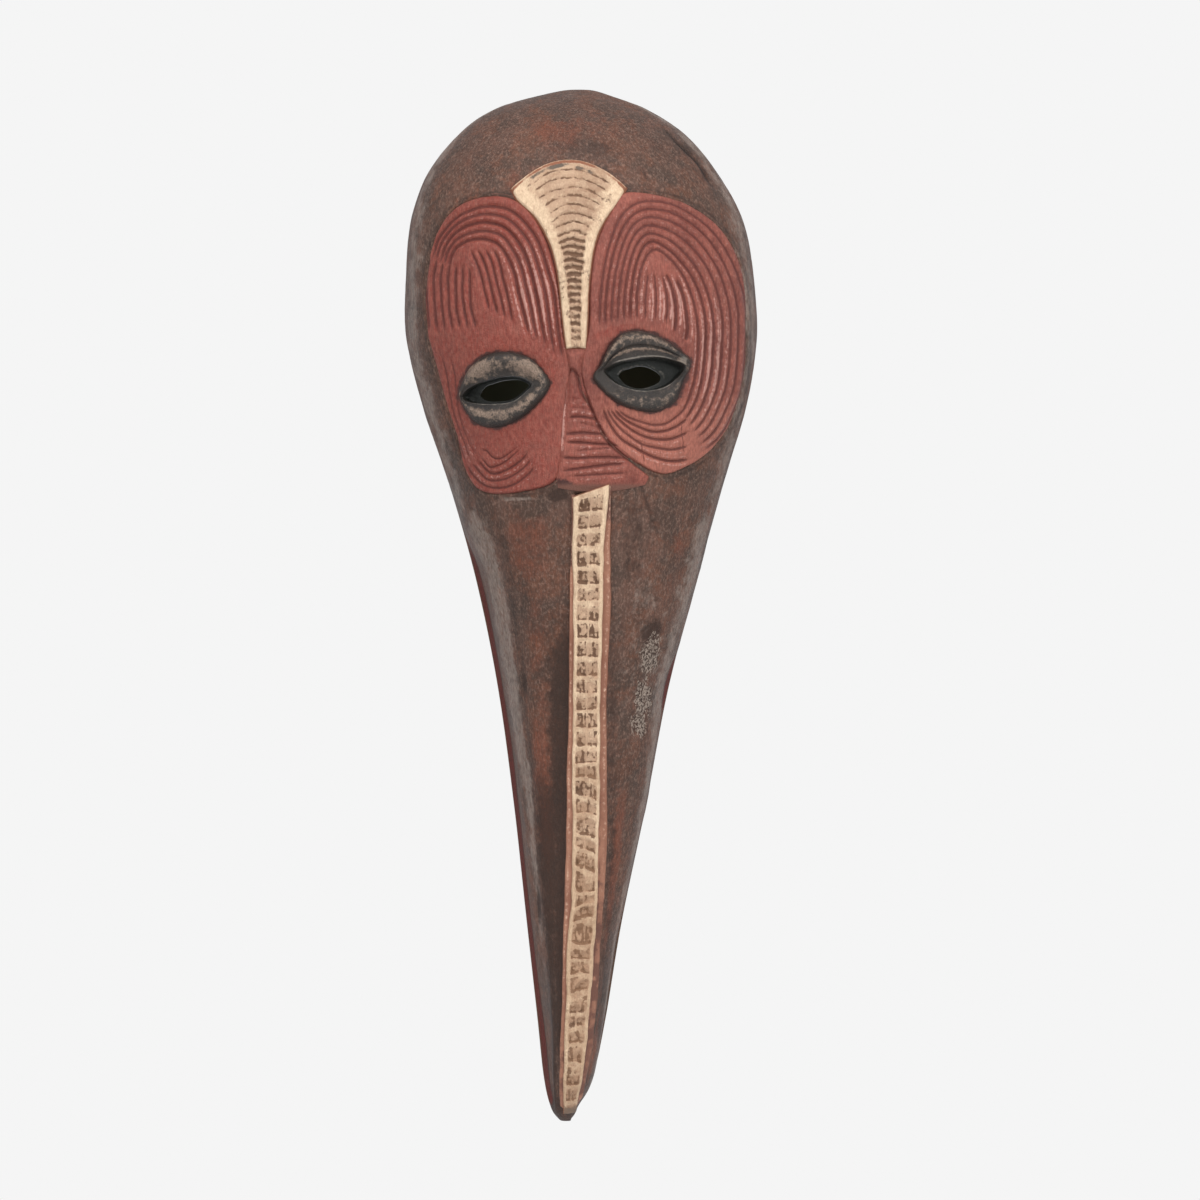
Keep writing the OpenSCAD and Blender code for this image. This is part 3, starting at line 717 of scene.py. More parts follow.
def right_smooth(x, v):
    """Where the right field was left ungrooved: a band over the eye."""
    return np.clip(1.2 * bump(v, 117.5 + 0.012 * (x - 24) ** 2, 2.5) * bump(x, 18, 12), 0, 1)


def feel_of_paint(tree, surface, colour, grain, dull, pitted, deep, gloss):
    """The feel of thin paint on wood: dull, a little duller in patches, pitted by the pores."""
    rough = figure(tree, "MULTIPLY_ADD", grain["Patches"], 0.15, dull)
    relief = figure(tree, "MULTIPLY_ADD", grain["Pores"], -pitted, grain["Tooth"])
    feel(tree, surface, colour, rough, relief, deep, gloss)


# Earth red: dull brick red, browner in patches, dark in the grooves with dirt and painted shade,
# pale on the ridges with wear and painted glints.
earth_red, tree, surface, here = new_finish("earth_red")
grain = use(tree, wood_grain, {"Place": here, "Coarseness": 0.8})
colour = tint(tree, grain["Patches"], paint(104, 46, 36), paint(140, 74, 61))
smoky = broken(tree, here, 0.4, 2.2, 120)
colour = wash(tree, colour, smoky, 0.35, (92, 44, 36))
fresh = broken(tree, here, kept(tree, "fresh"), 0.6, 200)
colour = wash(tree, colour, fresh, 0.8, (122, 44, 32))
colour = wash(tree, colour, grain["Streaks"], 0.3, (98, 50, 40))
dusted = use(tree, wood_grain, {"Place": here, "Coarseness": 2.2})["Tooth"]
colour = wash(tree, colour, dusted, 0.42, (154, 94, 79))
mealy = broken(tree, here, kept(tree, "mealy"), 0.8, 260)
colour = wash(tree, colour, mealy, 0.5, (172, 108, 90))
# Dark in the grooves: dirt and painted shade.
dug = broken(tree, here, kept(tree, "groove"), 0.35, 700)
colour = wash(tree, colour, dug, 0.78, (78, 33, 27))
# Pale on the ridges: worn pigment with painted glints.
rubbed_and_highlight = broken(tree, here, kept(tree, "worn_and_highlight"), 1.1, 650)
colour = wash(tree, colour, rubbed_and_highlight, 0.55, (198, 154, 142))
colour = wash(tree, colour, broken(tree, here, kept(tree, "smudge"), 0.8, 400), 1.0, (60, 34, 29))
colour = wash(tree, colour, grain["Pores"], 0.42, (66, 32, 26))
colour = tint(tree, kept(tree, "lip"), colour, paint(92, 58, 47))
feel_of_paint(tree, surface, colour, grain, 0.45, 0.4, 0.00016, 0.3)

left_field = cheek_field("left_cheek_field", "left_face_field", left_field_outline,
                         left_rim_outer, left_eye_centre, left_grooves, left_smooth, 21)
right_field = cheek_field("right_cheek_field", "right_face_field", right_field_outline,
                          right_rim_outer, right_eye_centre, right_grooves, right_smooth, 31)
for field in (left_field, right_field):
    field.data.materials.append(earth_red)

# ---- Nose panel -----------------------------------------------------------------------------
# The red panel between the eyes, widening down to the top of the beak. Short level grooves are
# cut across it, a pale ridge stands at its left and a deep cut parts it from the right cheek.


def on_band(rows, s, t):
    """Plan points of a band: its rows are v at left, v at right, left edge, right edge and arch,
    and a row's points run from edge to edge, raised in the middle by the arch."""
    v_left, v_right, left, right, arch = np.moveaxis(smooth_pass(rows, s), -1, 0)
    return (left + (right - left) * t,
            v_left + (v_right - v_left) * t + arch * 4 * t * (1 - t))


def inlaid_band(name, node, x, v, lift, deep, marks):
    """A closed band: its top at the given lifts over the front, its underside let in by deep."""
    top = on_front(x, v, lift)
    keep = np.linspace(x.shape[1] - 1, 0, 7).round().astype(int)
    low = on_front(x[:, keep], v[:, keep], np.full((len(x), len(keep)), -deep))
    marks = {key: np.hstack([np.broadcast_to(values, x.shape), np.zeros(low.shape[:2])])
             for key, values in marks.items()}
    band = wrap_skin(name, in_frame(np.hstack([top, low])), marks)
    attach(band, "root")
    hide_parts(node)
    return band


nose_rows = [[126.5, 126.5, -6.5, 4.2, 0], [137, 137, -5, 1.6, 0], [147, 147, -5.6, 3.8, 0],
             [157, 157, -7, 10, 0], [165, 165, -7.6, 14.8, 0.5], [172, 171, -8.4, 20, 1],
             [179, 178, -9.4, 26.5, 2], [184, 184, -10.5, 32.5, 3], [190.5, 189, -9.5, 31, 2.5]]
s = np.linspace(0, len(nose_rows) - 1, 300)[:, None]
t = np.linspace(0, 1, 130)[None, :]
x, v = on_band(nose_rows, s, t)
width = x[:, -1:] - x[:, :1]
inside = np.minimum(t, 1 - t) * width
flat = on_plan(x, v)
# Level grooves, each with its own place, tilt and length across the panel: painted darker
# within, for dirt and shade, and paler on the ridge below, for wear and a painted glint.
cut, dark_in_cuts, wear_and_glint = np.zeros(x.shape), np.zeros(x.shape), np.zeros(x.shape)
for at_v, tilt, start, stop, deep in (
        (149.5, 0.05, 0.3, 0.95, 0.4), (154, 0.1, 0.25, 0.9, 0.5), (158.2, 0.04, 0.2, 0.95, 1.0),
        (161.5, 0.12, 0.4, 0.9, 0.5), (165.0, 0.0, 0.12, 0.9, 1.0), (169.5, 0.08, 0.15, 0.92, 1.1),
        (172.6, -0.08, 0.3, 0.8, 0.6), (176.3, 0.0, 0.08, 0.9, 1.0), (180.6, -0.1, 0.12, 0.8, 1.0),
        (184.2, -0.04, 0.2, 0.75, 0.7)):
    line_v = at_v + tilt * (x - 5) + 0.9 * (2 * t - 1) ** 2 + 0.5 * soft_noise(flat, 8, 41)
    reach = ease(start - 0.1, start + 0.05, t) * (1 - ease(stop - 0.05, stop + 0.1, t))
    cut = np.maximum(cut, deep * reach * bump(v, line_v, 0.85))
    dark_in_cuts = np.maximum(dark_in_cuts, min(1, deep) * reach * bump(v, line_v, 0.7))
    wear_and_glint = np.maximum(wear_and_glint, 0.34 * reach * bump(v, line_v + 1.8, 0.8))
parting = drawn([[-4, 134.5], [-0.5, 139], [1.5, 146.5], [6, 153.5], [10, 163], [14.5, 170],
                 [21.5, 176], [29, 181.5], [33, 184]], 80)
parting_away, parting_share = line_distance(x, v, parting, 6)
left_away, left_share = line_distance(
    x, v, drawn([[-5.5, 139], [-6.4, 150], [-6.9, 158], [-7.4, 168], [-8, 177]], 50), 6)
parted = bump(parting_away, 0, 0.95) * ease(0, 0.08, parting_share)
knot = bump(np.hypot(x + 4, (v - 136.5) * 1.4), 0, 2.0)
left_ridge = bump(left_away, 0, 0.9) * ease(0, 0.2, left_share) * ease(0, 0.2, 1 - left_share)
blotch = 1.1 * bump(x, -9, 7) * bump(v, 189, 3)
lift = 1.25 * ease(0, 2.4, inside) * ease(126.5, 130, v) * (1 - 0.8 * ease(182, 189.5, v))
lift += 0.2 * soft_noise(flat, 7, 42) + 0.1 * soft_noise(flat, 2.4, 43)
lift += 0.5 * left_ridge - 0.9 * cut - 1.5 * parted - 1.3 * knot
nose = inlaid_band("nose_panel_red", "nose_panel", x, v, lift, 2.4, {
    "groove": np.maximum.reduce([dark_in_cuts, parted, knot, 0.5 * bump(inside, 0, 0.8)]),
    "worn_and_highlight": np.maximum(wear_and_glint * (1 - dark_in_cuts), 0.8 * left_ridge), "fresh": 0.5 * bump(v, 150, 12),
    "smudge": blotch, "lip": ease(187.5, 190, v)})
nose.data.materials.append(earth_red)

# ---- Forehead wedge -------------------------------------------------------------------------
# The cream blaze from the crown of the forehead down between the brows: raised borders, curved
# gouge cuts across the fan and short level cuts down the channel, painted with chalk and stained.

wedge_rows = [[52, 51.5, -31.8, 22.8, -14], [58, 57, -28.6, 20, -13], [63, 62, -23.4, 16.6, -11],
              [68, 67, -19, 13.2, -9], [74, 73, -15.6, 10, -7], [81, 81, -12.6, 7.6, -4.5],
              [90, 90, -10.4, 6.2, -2.5], [100, 100, -9, 5.2, -1], [112, 112, -7.8, 4.8, -0.5],
              [127, 127, -6, 4, -0.5]]
s = np.linspace(0, len(wedge_rows) - 1, 420)[:, None]
t = np.linspace(0, 1, 120)[None, :]
x, v = on_band(wedge_rows, s, t)
width = x[:, -1:] - x[:, :1]
inside = np.minimum(np.minimum(t, 1 - t) * width, np.minimum(v - v[0], v[-1] - v))
flat = on_plan(x, v)
centre_v = v[:, 60:61]
border = np.interp(centre_v, [45, 70, 95, 127], [0.13, 0.17, 0.27, 0.3])
border = border + 0.025 * soft_noise(flat, 4, 57)
channel = ease(border - 0.05, border + 0.07, t) * (1 - ease(0.95 - border, 1.05 - border, t))
cut, dark_in_cuts = np.zeros(x.shape), np.zeros(x.shape)
waver = 0.5 * soft_noise(flat, 7, 51) + 0.25 * soft_noise(flat, 2.5, 52)
arcs = np.array([43.3, 47.2, 51.5, 55.6, 60, 64.2, 68.4])
steps = np.arange(72.6, 124, 3.25)
for at_v in np.concatenate([arcs, steps]):
    deep = np.interp(at_v, [43, 60, 80, 118, 124], [0.45, 0.5, 0.85, 0.8, 0.3])
    wide = np.interp(at_v, [43, 70, 90], [0.6, 0.75, 1.0])
    sag = 0.03 * (x + 3) ** 2 * ease(68, 90, at_v + 0 * x)
    here_v = centre_v + waver - sag * 0.4
    cut = np.maximum(cut, deep * bump(here_v, at_v, wide))
    dark_in_cuts = np.maximum(dark_in_cuts, bump(here_v, at_v, wide * 0.9))
dark_in_cuts = dark_in_cuts * (0.75 + 0.55 * soft_noise(flat, 3, 58)) + 0.25 * ease(0.1, 0.7, soft_noise(flat, 1.5, 59))
stain = np.interp(centre_v, [40, 55, 70, 80, 112, 122], [0.95, 0.85, 0.9, 1.0, 1.0, 0.45])
smears = (1 - channel) * ease(0.15, 0.7, soft_noise(flat * [1, 0.5, 1], 2.4, 62))
bare = np.maximum(bump(v - v[0], 3.4, 1.2) * bump(t, 0.38, 0.2),
                  0.8 * bump(v - v[0], 4.6, 1.0) * bump(t, 0.62, 0.1))
bare = bare * (1.1 + 0.8 * soft_noise(flat, 3, 53))
lift = 1.75 * ease(0, 1.3, inside) * (1 + 0.12 * soft_noise(flat, 5, 54))
lift += 0.1 * soft_noise(flat, 1.6, 55) - channel * (cut + 0.55 * ease(66, 84, centre_v))
lift -= 0.3 * np.clip(bare, 0, 1)
wedge = inlaid_band("forehead_blaze", "forehead_wedge", x, v, lift, 2.4, {
    "stain": channel * np.clip(dark_in_cuts * stain + 0.25 * ease(70, 84, centre_v), 0, 1) + 0.4 * smears,
    "bare": np.clip(bare, 0, 1), "aged": 0.1 * channel + 0.25,
    "edge": np.maximum(1 - ease(0.2, 1.0, inside),
                       bump(v - v[0], 1.9, 0.7) * (0.75 + 0.5 * soft_noise(flat, 5, 60))),
    "bright": (1 - channel) * 0.35 + 0.3})

# Chalk cream: warm cream with paler thick paint, brown stain in the cuts, worn grey spots, and
# browner where age and handling have darkened it; on the beak strip a painted shadow line lies at
# the foot of each cell.
chalk_cream, tree, surface, here = new_finish("chalk_cream")
grain = use(tree, wood_grain, {"Place": here, "Coarseness": 0.7})
colour = tint(tree, grain["Patches"], paint(156, 126, 102), paint(188, 158, 131))
colour = wash(tree, colour, broken(tree, here, kept(tree, "bright"), 0.6, 350), 1.0, (208, 182, 152))
stained = broken(tree, here, kept(tree, "stain"), 0.95, 650)
# Stain in the cuts, and on the beak strip a painted shadow line at the foot of each cell.
colour = wash(tree, colour, stained, 0.88, (74, 47, 30))
colour = wash(tree, colour, grain["Pores"], 0.3, (120, 86, 64))
colour = wash(tree, colour, broken(tree, here, kept(tree, "bare"), 0.9, 420), 1.0, (92, 80, 70))
colour = wash(tree, colour, broken(tree, here, kept(tree, "edge"), 0.5, 500), 1.0, (128, 80, 58))
aged = broken(tree, here, kept(tree, "aged"), 0.6, 160)
colour = wash(tree, colour, aged, 0.45, (142, 106, 78))
feel_of_paint(tree, surface, colour, grain, 0.55, 0.6, 0.0002, 0.3)
wedge.data.materials.append(chalk_cream)

# ---- Eyes -----------------------------------------------------------------------------------
# Each eye is a black lidded rim standing round a slot cut right through to the hollow. The left
# is a plain swollen bean; the right has a heavy upper lid with a crease and an undercut edge.

# The lid edges and the slots, point by point beside the rims' outer edges given above.
left_lid_edge = [[-54.5, 148.5], [-52.5, 145], [-48, 142.5], [-42, 140.5], [-35.5, 139],
                 [-28.5, 139], [-24, 140.5], [-21.5, 143], [-24, 146], [-30, 150.4],
                 [-38, 151.6], [-48.5, 151]]
left_slot = [[-45.5, 147.5], [-45, 145.5], [-43, 143], [-39.5, 141.8], [-35, 140.6],
             [-29, 140.2], [-25, 141.4], [-23, 143], [-24.8, 145.2], [-30, 149], [-36, 150.2],
             [-42.5, 149.7]]
right_lid_edge = [[11.5, 137], [14, 134.5], [18.5, 132.5], [23.5, 131.5], [29, 130.5],
                  [35.5, 130], [43, 131], [50, 134], [45, 140.5], [38, 144.6], [28.5, 145.6],
                  [18.5, 143]]
right_slot = [[19, 139.5], [19, 138], [21, 136], [24, 135], [28, 134], [32, 134.5], [36, 136.5],
              [38, 139], [37, 141.5], [33, 143.5], [28, 144.5], [22.5, 143]]


def inner_height(x, v):
    """Height of the hollow's roof over the back plane, the head's wall under the front."""
    centre, half, depth = block_at(v)
    u = np.clip(np.abs(x - centre) / (half - head_wall), 0, 0.999)
    return (depth - head_wall) * (1 - u ** squareness) ** (1 / squareness)


def lidded_rim(name, node, centre, outer, lid, slot, crest_at, crests, edges, creased, marks_at):
    """A rim through loops at matching points: up the outside, over the roll from the outer edge
    to the lid's edge, down the funnel to the slot, back through the wood and round again. The
    roll climbs on a quarter circle to its crest and eases down to the lid's edge."""
    turns = np.linspace(0, 12, 361)[:-1]
    inside_lip = 0.7
    outer, lid, slot = (smooth_pass(p, turns, closed=True) for p in (outer, lid, slot))
    upper = ease(0.3, 2, turns) * (1 - ease(5.6, 7, turns))
    lower = ease(7.2, 8.4, turns) * (1 - ease(10.8, 12, turns))
    crest = 3.2 + (crests[0] - 3.2) * upper + (crests[1] - 3.2) * lower
    edge = 2.0 + (edges[0] - 2.0) * upper + (edges[1] - 2.0) * lower
    rows, lifts, kinds = [], [], []
    for q in np.linspace(0, 1, 64):
        climb = np.sqrt(1 - (1 - min(q / crest_at, 1)) ** 2)
        fall = ease(crest_at, 1, np.array(q))
        lift = -0.6 + (crest + 0.6) * climb - (crest - edge) * fall
        lift = lift - creased * upper * (0.9 * bump(q, 0.56, 0.045) - 0.35 * bump(q, 0.66, 0.05))
        rows.append(outer * (1 - q) + lid * q)
        lifts.append(lift)
        kinds.append(q)
    for p in np.linspace(0.04, 1, 26):
        drop = 1 - (1 - p) ** 3
        rows.append(lid * (1 - p) + slot * p)
        lifts.append(edge - (edge + 4.5) * (0.75 * ease(0, 0.35, np.array(p)) + 0.25 * drop))
        kinds.append(1 + p)
    plan = np.array(rows)
    x, v = plan[..., 0], plan[..., 1]
    flat = on_plan(x, v)
    kind = np.broadcast_to(np.array(kinds)[:, None], x.shape)
    worked = 0.28 * soft_noise(flat, 5, 61) + 0.16 * soft_noise(flat, 2.2, 62)
    worked += 0.07 * soft_noise(flat, 1.0, 63)
    h = front_height(x, v) + np.array(lifts) + worked * ease(0.02, 0.15, kind)
    front = np.stack([x, v, h], -1)
    back_slot = about(centre, slot, 1.04)
    body = about(centre, outer, 0.972)
    through = [np.column_stack([slot * (1 - k) + back_slot * k,
                                h[-1] * (1 - k) + k * (inner_height(*back_slot.T) - inside_lip)])
               for k in (0.2, 0.4, 0.6, 0.8, 1.0)]
    seat = [np.column_stack([body, inner_height(*body.T) - inside_lip]),
            np.column_stack([body, front_height(*body.T) - 3.0]),
            np.column_stack([about(centre, outer, 0.99), front_height(*outer.T) - 1.2])]
    loops = np.vstack([np.array(seat), front, np.array(through)])
    worn_and_highlight, line = marks_at(x, v, kind, upper[None, :], lower[None, :])
    # The first mask is wear with painted highlights, the second painted pale lines on the lid edges,
    # the third painted shade down the funnel and through the wood.
    padded = {"worn_and_highlight": worn_and_highlight, "line": line, "deep": ease(1.02, 1.25, kind)}
    around = len(turns)
    marks = {key: np.vstack([np.zeros((len(seat), around)), values,
                             np.full((len(through), around), key == "deep")])
             for key, values in padded.items()}
    rim = wrap_skin(name, in_frame(loops), marks, ring=True)
    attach(rim, "root")
    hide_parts(node)
    return rim


def left_marks(x, v, kind, _, lower):
    """Wear and painted highlight on the left rim: paler at the ends of the upper lid, along the crest
    all round and on the swell of the lower lid, and a painted pale line along the lower lid's edge.
    """
    worn_and_highlight = (0.6 * bump(x, -47, 7) * bump(v, 136, 6) + 0.6 * bump(x, -23, 8) * bump(v, 135.5, 5)
            + 0.38 * bump(kind, 0.45, 0.3) + 0.35 * lower * bump(kind, 0.62, 0.25)) * (kind < 1)
    return worn_and_highlight, 0.6 * bump(kind, 1.0, 0.05) * lower


def right_marks(x, v, kind, upper, lower):
    """Wear and painted highlight on the right rim: paler on the ridge below the lid's crease, on
    the upper lid's outer slope, on the lower lid and a little all over, with a pale chip at the
    outer tip; painted pale lines along the edges of both lids and down near the slot.
    """
    worn_and_highlight = (0.5 * upper * bump(kind, 0.68, 0.06) + 0.4 * upper * bump(kind, 0.25, 0.15)
            + 0.9 * bump(np.hypot(x - 48, v - 133), 0, 2.5) + 0.15) * (kind < 1)
    edge = 0.7 * upper * bump(kind, 0.97, 0.05) + 0.6 * lower * bump(kind, 1.0, 0.06)
    edge = edge + 1.3 * bump(np.hypot(x - 48.5, (v - 132) * 0.6), 0, 1.7) * (kind < 1)
    return worn_and_highlight + 0.2 * lower * bump(kind, 0.4, 0.2), edge + 0.45 * bump(kind, 1.88, 0.08)


# Black lids: blackened wood with a grey cast, browner and paler where hands have worn it and
# where highlights are painted on the crests, with painted pale lines on the lid edges and painted
# near black shade down the funnels to the slots.
black_lids, tree, surface, here = new_finish("black_lids")
grain = use(tree, wood_grain, {"Place": here, "Coarseness": 0.6})
colour = tint(tree, grain["Patches"], paint(16, 15, 13), paint(40, 35, 31))
colour = wash(tree, colour, grain["Tooth"], 0.22, (84, 68, 58))
rubbed_and_highlight = broken(tree, here, kept(tree, "worn_and_highlight"), 1.0, 420)
rubbed_and_highlight = figure(tree, "MULTIPLY", rubbed_and_highlight, eased(tree, grain["Tooth"], -0.3, 0.9))
colour = wash(tree, colour, rubbed_and_highlight, 0.72, (154, 130, 112))
# Painted shade: near black down the funnel and through the wood to the hollow.
colour = tint(tree, kept(tree, "deep"), colour, paint(22, 24, 20))
# Painted pale highlight lines along the lid edges, with a pale chip at the right eye's outer tip.
painted_lines_and_chip = broken(tree, here, kept(tree, "line"), 0.8, 500)
colour = wash(tree, colour, painted_lines_and_chip, 0.6, (128, 120, 110))
feel_of_paint(tree, surface, colour, grain, 0.34, 0.5, 0.00015, 0.36)

left_rim = lidded_rim("left_eye_lids", "left_eye_rim", left_eye_centre, left_rim_outer,
                      left_lid_edge, left_slot, 0.42, (4.8, 4.6), (2.6, 2.8), 0.0, left_marks)
right_rim = lidded_rim("right_eye_lids", "right_eye_rim", right_eye_centre, right_rim_outer,
                       right_lid_edge, right_slot, 0.3, (5.6, 3.8), (4.2, 1.8), 1.0, right_marks)
for rim in (left_rim, right_rim):
    rim.data.materials.append(black_lids)

# ---- Beak strip -----------------------------------------------------------------------------
# The raised cream strip down the ridge of the beak: two columns of small chiselled cells between
# plain borders, neat at the top and more and more freely cut towards the tip.

strip_v = np.linspace(191.5, 485.5, 1250)[:, None]
t = np.linspace(0, 1, 50)[None, :]
slant = 3.0 * (1 - ease(191.5, 206, strip_v))
v = strip_v + slant * (1 - 2 * t)
left, right = (np.interp(strip_v, strip_edges[:, 0], strip_edges[:, k]) for k in (1, 2))
waver = on_plan(strip_v, 0 * strip_v)
left = left + 0.25 * soft_noise(waver, 7, 71)
right = right + 0.25 * soft_noise(waver, 7, 72)
x = left + (right - left) * t
width = right - left
flat = on_plan(x, v)
chance = np.random.default_rng(73)
ribs = 191 + np.cumsum(np.concatenate([[2.5], 8.5 + 0.8 * chance.uniform(-1, 1, 36)]))
free = ease(295, 350, strip_v)
lean = free * 0.55 * soft_noise(waver, 11, 74)
bowed = free * 2.6 * soft_noise(waver, 9, 75) * 4 * t * (1 - t)
rib_v = v - slant * (1 - 2 * t) * 0.9 - lean * (t - 0.5) * width + bowed
rib_v = rib_v + 0.3 * soft_noise(flat, 4, 76)
cell = np.clip(np.searchsorted(ribs, rib_v) - 1, 0, len(ribs) - 2)
down_cell = np.clip((rib_v - ribs[cell]) / (ribs[cell + 1] - ribs[cell]), 0, 1)
luck = chance.random((4, len(ribs)))
thick = 0.12 * (luck[3][cell] - 0.5) + 0.1 * soft_noise(flat, 2.6, 70)
along = ease(0.1 + thick, 0.5 + thick, down_cell) * (1 - ease(0.76 + thick, 0.88 + thick, down_cell))
joined = (luck[0][cell] < 0.45) * ease(300, 330, v)
rib_at = 0.49 + 0.05 * (luck[1][cell] - 0.5)
centre_rib = 0.9 * bump(t, rib_at, 0.05) * (1 - joined)
fringe = np.interp(strip_v, [190, 300, 420, 485], [0.15, 0.12, 0.16, 0.2])
field = ease(fringe - 0.02, fringe + 0.07, t) * (1 - ease(0.94 - fringe, 1.02 - fringe, t))
notch = np.where(cell % 2 == 0, ease(-0.1, 0.12, 0.25 + 0.6 * down_cell - t),
                 ease(-0.1, 0.12, t - 0.8 + 0.6 * down_cell))
pocket = along * field * (1 - centre_rib)
pocket = pocket * (1 - ease(408, 418, v)) + along * notch * ease(408, 418, v) * field
pocket = pocket * ease(193, 196, strip_v) * (1 - ease(480, 483, v))
strength = 0.75 + 0.5 * luck[2][cell]
strokes = soft_noise(flat * [1, 0.25, 1], 0.8, 69)
pocket_floor = 0.55 + 0.7 * down_cell + 0.25 * soft_noise(flat, 1.6, 77) + 0.35 * strokes
inside = np.minimum(np.minimum(t, 1 - t) * width,
                    np.minimum(strip_v - strip_v[0], strip_v[-1] - strip_v))
lift = 2.25 * ease(-0.4, 0.9, inside) + 0.16 * soft_noise(flat, 6, 78)
lift += 0.14 * soft_noise(flat, 1.8, 79) + 0.07 * soft_noise(flat, 0.9, 80)
lift -= 0.95 * pocket * strength * pocket_floor
lift *= 1 - 0.45 * ease(455, 485, v)
dug = ease(0.04, 0.16, down_cell) * (1 - ease(0.84, 0.95, down_cell)) * field * (1 - centre_rib)
# A painted shadow line at the foot of each cell, where the chisel stopped.
stop_cut_shadow = bump(down_cell, 0.8 + thick, 0.07) * (0.4 + 0.8 * luck[1][cell])
stain = dug * (0.9 * stop_cut_shadow + 0.75 * ease(0.05, 0.55, strokes) * (0.3 + luck[3][cell]))
stain += dug * (0.1 + 0.35 * (t < 0.45) * luck[2][cell] + 0.45 * soft_noise(flat, 1.2, 68))
stain += 0.25 * field * ease(0.2, 0.7, soft_noise(flat, 1.1, 67))
strip = inlaid_band("beak_ridge_strip", "beak_strip", x, v, lift, 2.6, {
    "stain": np.clip(stain + 0.35 * ease(405, 425, v) * (1 - ease(0.0, 0.3, t)), 0, 1),
    "bare": 0.8 * ease(478, 484, v), "edge": 0.8 * (1 - ease(0.1, 0.6, inside)),
    "aged": np.interp(v, [200, 330, 400, 480], [0.15, 0.4, 0.8, 0.6]) + 0.2 * soft_noise(flat, 9, 66),
    "bright": (1 - field) * 0.7 + 0.5 * (1 - along) * field})
strip.data.materials.append(chalk_cream)

# ---- Side rails -----------------------------------------------------------------------------
# A low plain moulding stands along each side of the strip; its thin pigment has rubbed back to
# pinkish tan over brown wood.

rubbed_tan, tree, surface, here = new_finish("rubbed_tan")
grain = use(tree, wood_grain, {"Place": here, "Coarseness": 0.8})
colour = tint(tree, grain["Patches"], paint(118, 76, 58), paint(152, 108, 86))
colour = wash(tree, colour, grain["Streaks"], 0.4, (112, 72, 56))
stained = broken(tree, here, kept(tree, "stain"), 0.7, 420)
colour = wash(tree, colour, stained, 0.85, (84, 52, 42))
rubbed_and_highlight = broken(tree, here, kept(tree, "worn_and_highlight"), 0.8, 500)
colour = wash(tree, colour, rubbed_and_highlight, 0.6, (208, 176, 152))
feel_of_paint(tree, surface, colour, grain, 0.5, 0.5, 0.0001, 0.3)

for name, node, inner, outer, darker, begins, ages in (
        ("left_side_rail", "left_rail", 1, 3, 0.35, (222, 232), (400, 470)),
        ("right_side_rail", "right_rail", 2, 4, 0.6, (200, 208), (320, 420))):
    rail_v = np.linspace(191, 483, 620)[:, None]
    away = 1 if inner == 2 else -1
    near, far = (np.interp(rail_v, strip_edges[:, 0], strip_edges[:, k]) for k in (inner, outer))
    near = near - away * 0.7
    waver = on_plan(rail_v, 0 * rail_v)
    far = far + away * (-0.15 + 0.25 * soft_noise(waver, 9, 81 + inner))
    t = np.linspace(0, 1, 20)[None, :]
    x = near + (far - near) * t
    v = rail_v + 2.6 * (1 - ease(191, 206, rail_v)) * (-away) + 0 * t
    flat = on_plan(x, v)
    shown = ease(*begins, rail_v)
    lift = 1.2 * (1 - ease(0.84, 1.0, t)) + 0.15 * bump(t, 0.6, 0.3) - 0.5 + 0.35 * shown
    lift = lift + 0.16 * soft_noise(flat, 4, 84) + 0.08 * soft_noise(flat, 1.5, 85)
    lift = lift * ease(191, 193.5, rail_v) * (1 - ease(476, 483, rail_v))
    low_end = ease(*ages, rail_v)
    rail = inlaid_band(name, node, x, v, lift, 2.4, {
        "stain": np.clip(0.7 * ease(0.9, 1, t) + 0.35 * bump(t, 0.22, 0.06) + darker * low_end
                         + 0.4 * soft_noise(flat, 3, 86) * low_end + 1.2 * (1 - shown), 0, 1),
        "worn_and_highlight": 0.35 * bump(t, 0.6, 0.25) * (1 - 0.7 * low_end)})
    rail.data.materials.append(rubbed_tan)

# ---- Floor, lights and camera ---------------------------------------------------------------
# A plain pale floor under the hanging mask, a pale room, soft boxes at both sides and above, and
# a dark card in the hollow: painted shade for the dark seen behind the eye holes of a hung mask.


def stage_sheet(name, corners, finish):
    """A flat sheet through four corners that only the picture needs."""
    mesh = bpy.data.meshes.new(name)
    mesh.from_pydata(corners, [], [(0, 1, 2, 3)])
    mesh.materials.append(finish)
    sheet = bpy.data.objects.new(name, mesh)
    bpy.context.scene.collection.objects.link(sheet)


pale, tree, surface, here = new_finish("pale_floor")
surface.inputs["Base Color"].default_value = (0.85, 0.85, 0.85, 1)
surface.inputs["Roughness"].default_value = 0.9
floor_z = -0.57
stage_sheet("floor", [(-0.6, -0.5, floor_z), (0.6, -0.5, floor_z), (0.6, 0.3, floor_z),
                      (-0.6, 0.3, floor_z)], pale)

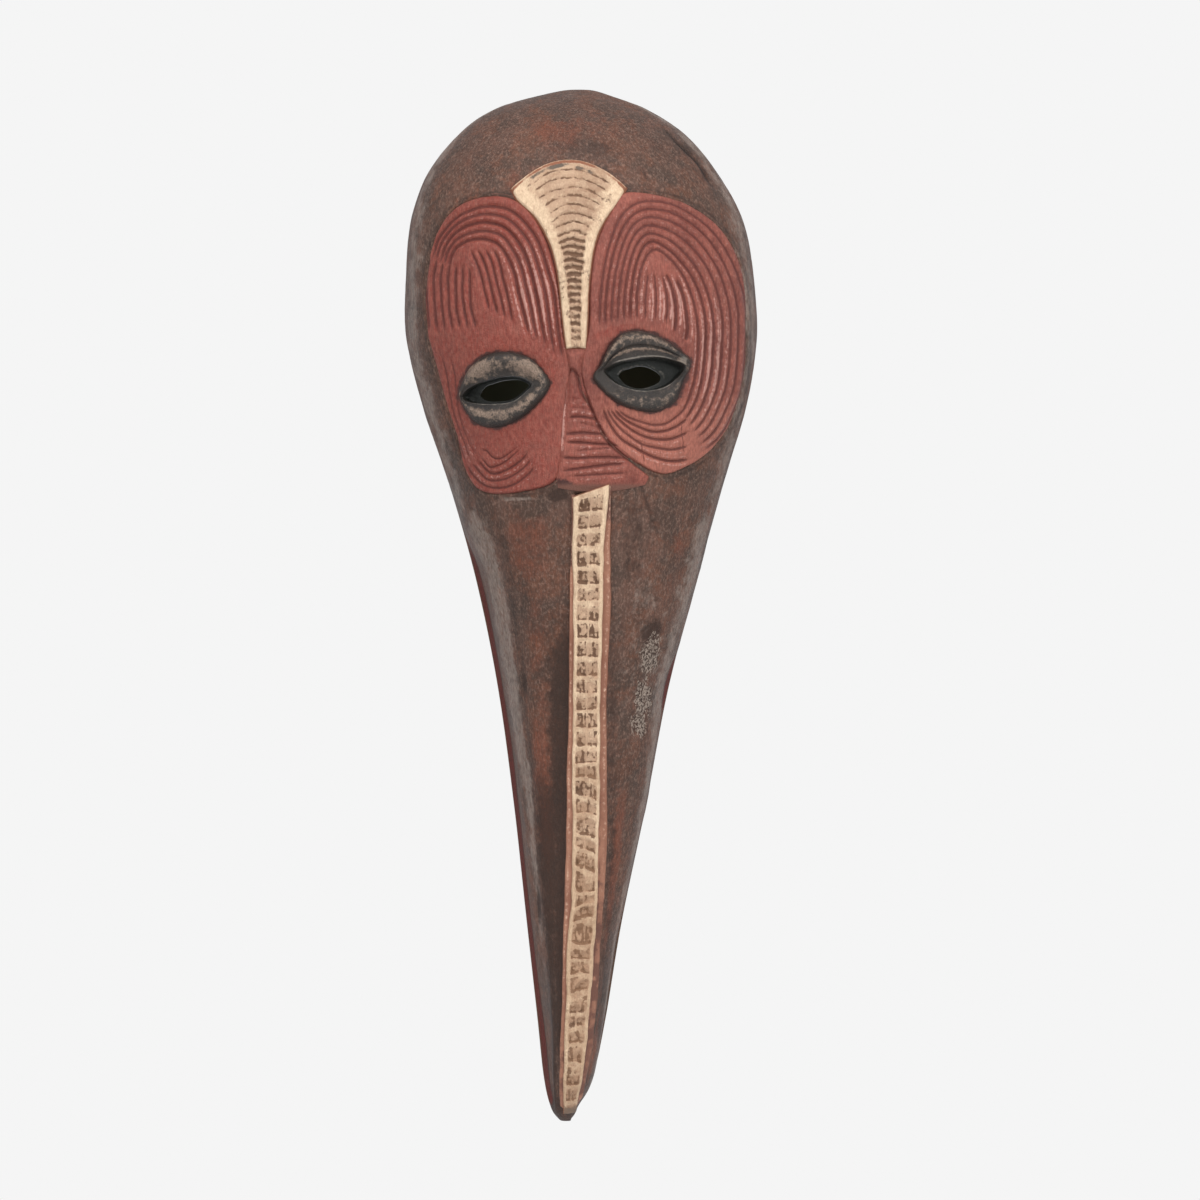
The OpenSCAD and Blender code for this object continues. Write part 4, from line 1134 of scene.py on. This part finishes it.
# The card is painted shade, seen only from the front, and casts no shade.
card_finish = bpy.data.materials.new("shade_card")
card_finish.use_nodes = True
tree = card_finish.node_tree
tree.nodes.clear()
facing = put(tree, "NewGeometry", {}, {}).outputs["Backfacing"]
direct = put(tree, "LightPath", {}, {}).outputs["Is Camera Ray"]
seen = figure(tree, "MULTIPLY", direct, figure(tree, "SUBTRACT", 1.0, facing))
shade_colour = put(tree, "BsdfDiffuse", {}, {"Color": (0.15, 0.175, 0.125, 1)}).outputs[0]
clear = put(tree, "BsdfTransparent", {}, {}).outputs[0]
shown = put(tree, "MixShader", {}, {0: seen, 1: clear, 2: shade_colour}).outputs[0]
put(tree, "OutputMaterial", {}, {"Surface": shown})
left_low, left_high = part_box("left_eye_rim")
right_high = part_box("right_eye_rim")[1]
card_y, card_low, card_high = left_high.y + 0.0067, left_low.z - 0.014, right_high.z + 0.006
stage_sheet("shade_card", [(left_low.x, card_y, card_low), (right_high.x, card_y, card_low),
                          (right_high.x, card_y, card_high), (left_low.x, card_y, card_high)],
            card_finish)

room = bpy.data.worlds.new("pale_room")
room.use_nodes = True
bpy.context.scene.world = room
tree = room.node_tree
tree.nodes.clear()
direct = put(tree, "LightPath", {}, {}).outputs["Is Camera Ray"]
backdrop = put(tree, "Background", {}, {"Color": (0.913, 0.913, 0.913, 1), "Strength": 1.0})
ambient = put(tree, "Background", {}, {"Color": (0.93, 0.96, 1.0, 1), "Strength": 0.62})
mixed = put(tree, "MixShader", {}, {0: direct, 1: ambient.outputs[0], 2: backdrop.outputs[0]})
put(tree, "OutputWorld", {}, {"Surface": mixed.outputs[0]})

for name, spot, size, watts in (("left_box", (-1.3, -1.5, 0.35), 1.0, 19),
                                ("right_box", (1.3, -1.5, 0.2), 1.0, 26),
                                ("top_box", (0.0, -0.9, 1.3), 1.2, 24)):
    lamp = bpy.data.lights.new(name, "AREA")
    lamp.energy, lamp.size = watts, size
    box = bpy.data.objects.new(name, lamp)
    box.location = spot
    aim = np.array([0, 0, -0.2]) - spot
    box.rotation_euler = mathutils.Vector(aim).to_track_quat("-Z", "Y").to_euler()
    bpy.context.scene.collection.objects.link(box)

# A long lens well in front, level with the middle of the mask, so the beak isn't foreshortened.
lens = bpy.data.cameras.new("camera")
lens.sensor_width, lens.lens = 36, 157.66
camera = bpy.data.objects.new("camera", lens)
camera.location = (0.010, -2.5, -0.2304)
camera.rotation_euler = (np.pi / 2, 0, 0)
bpy.context.scene.collection.objects.link(camera)
bpy.context.scene.camera = camera
bpy.context.scene.view_settings.view_transform = "Standard"
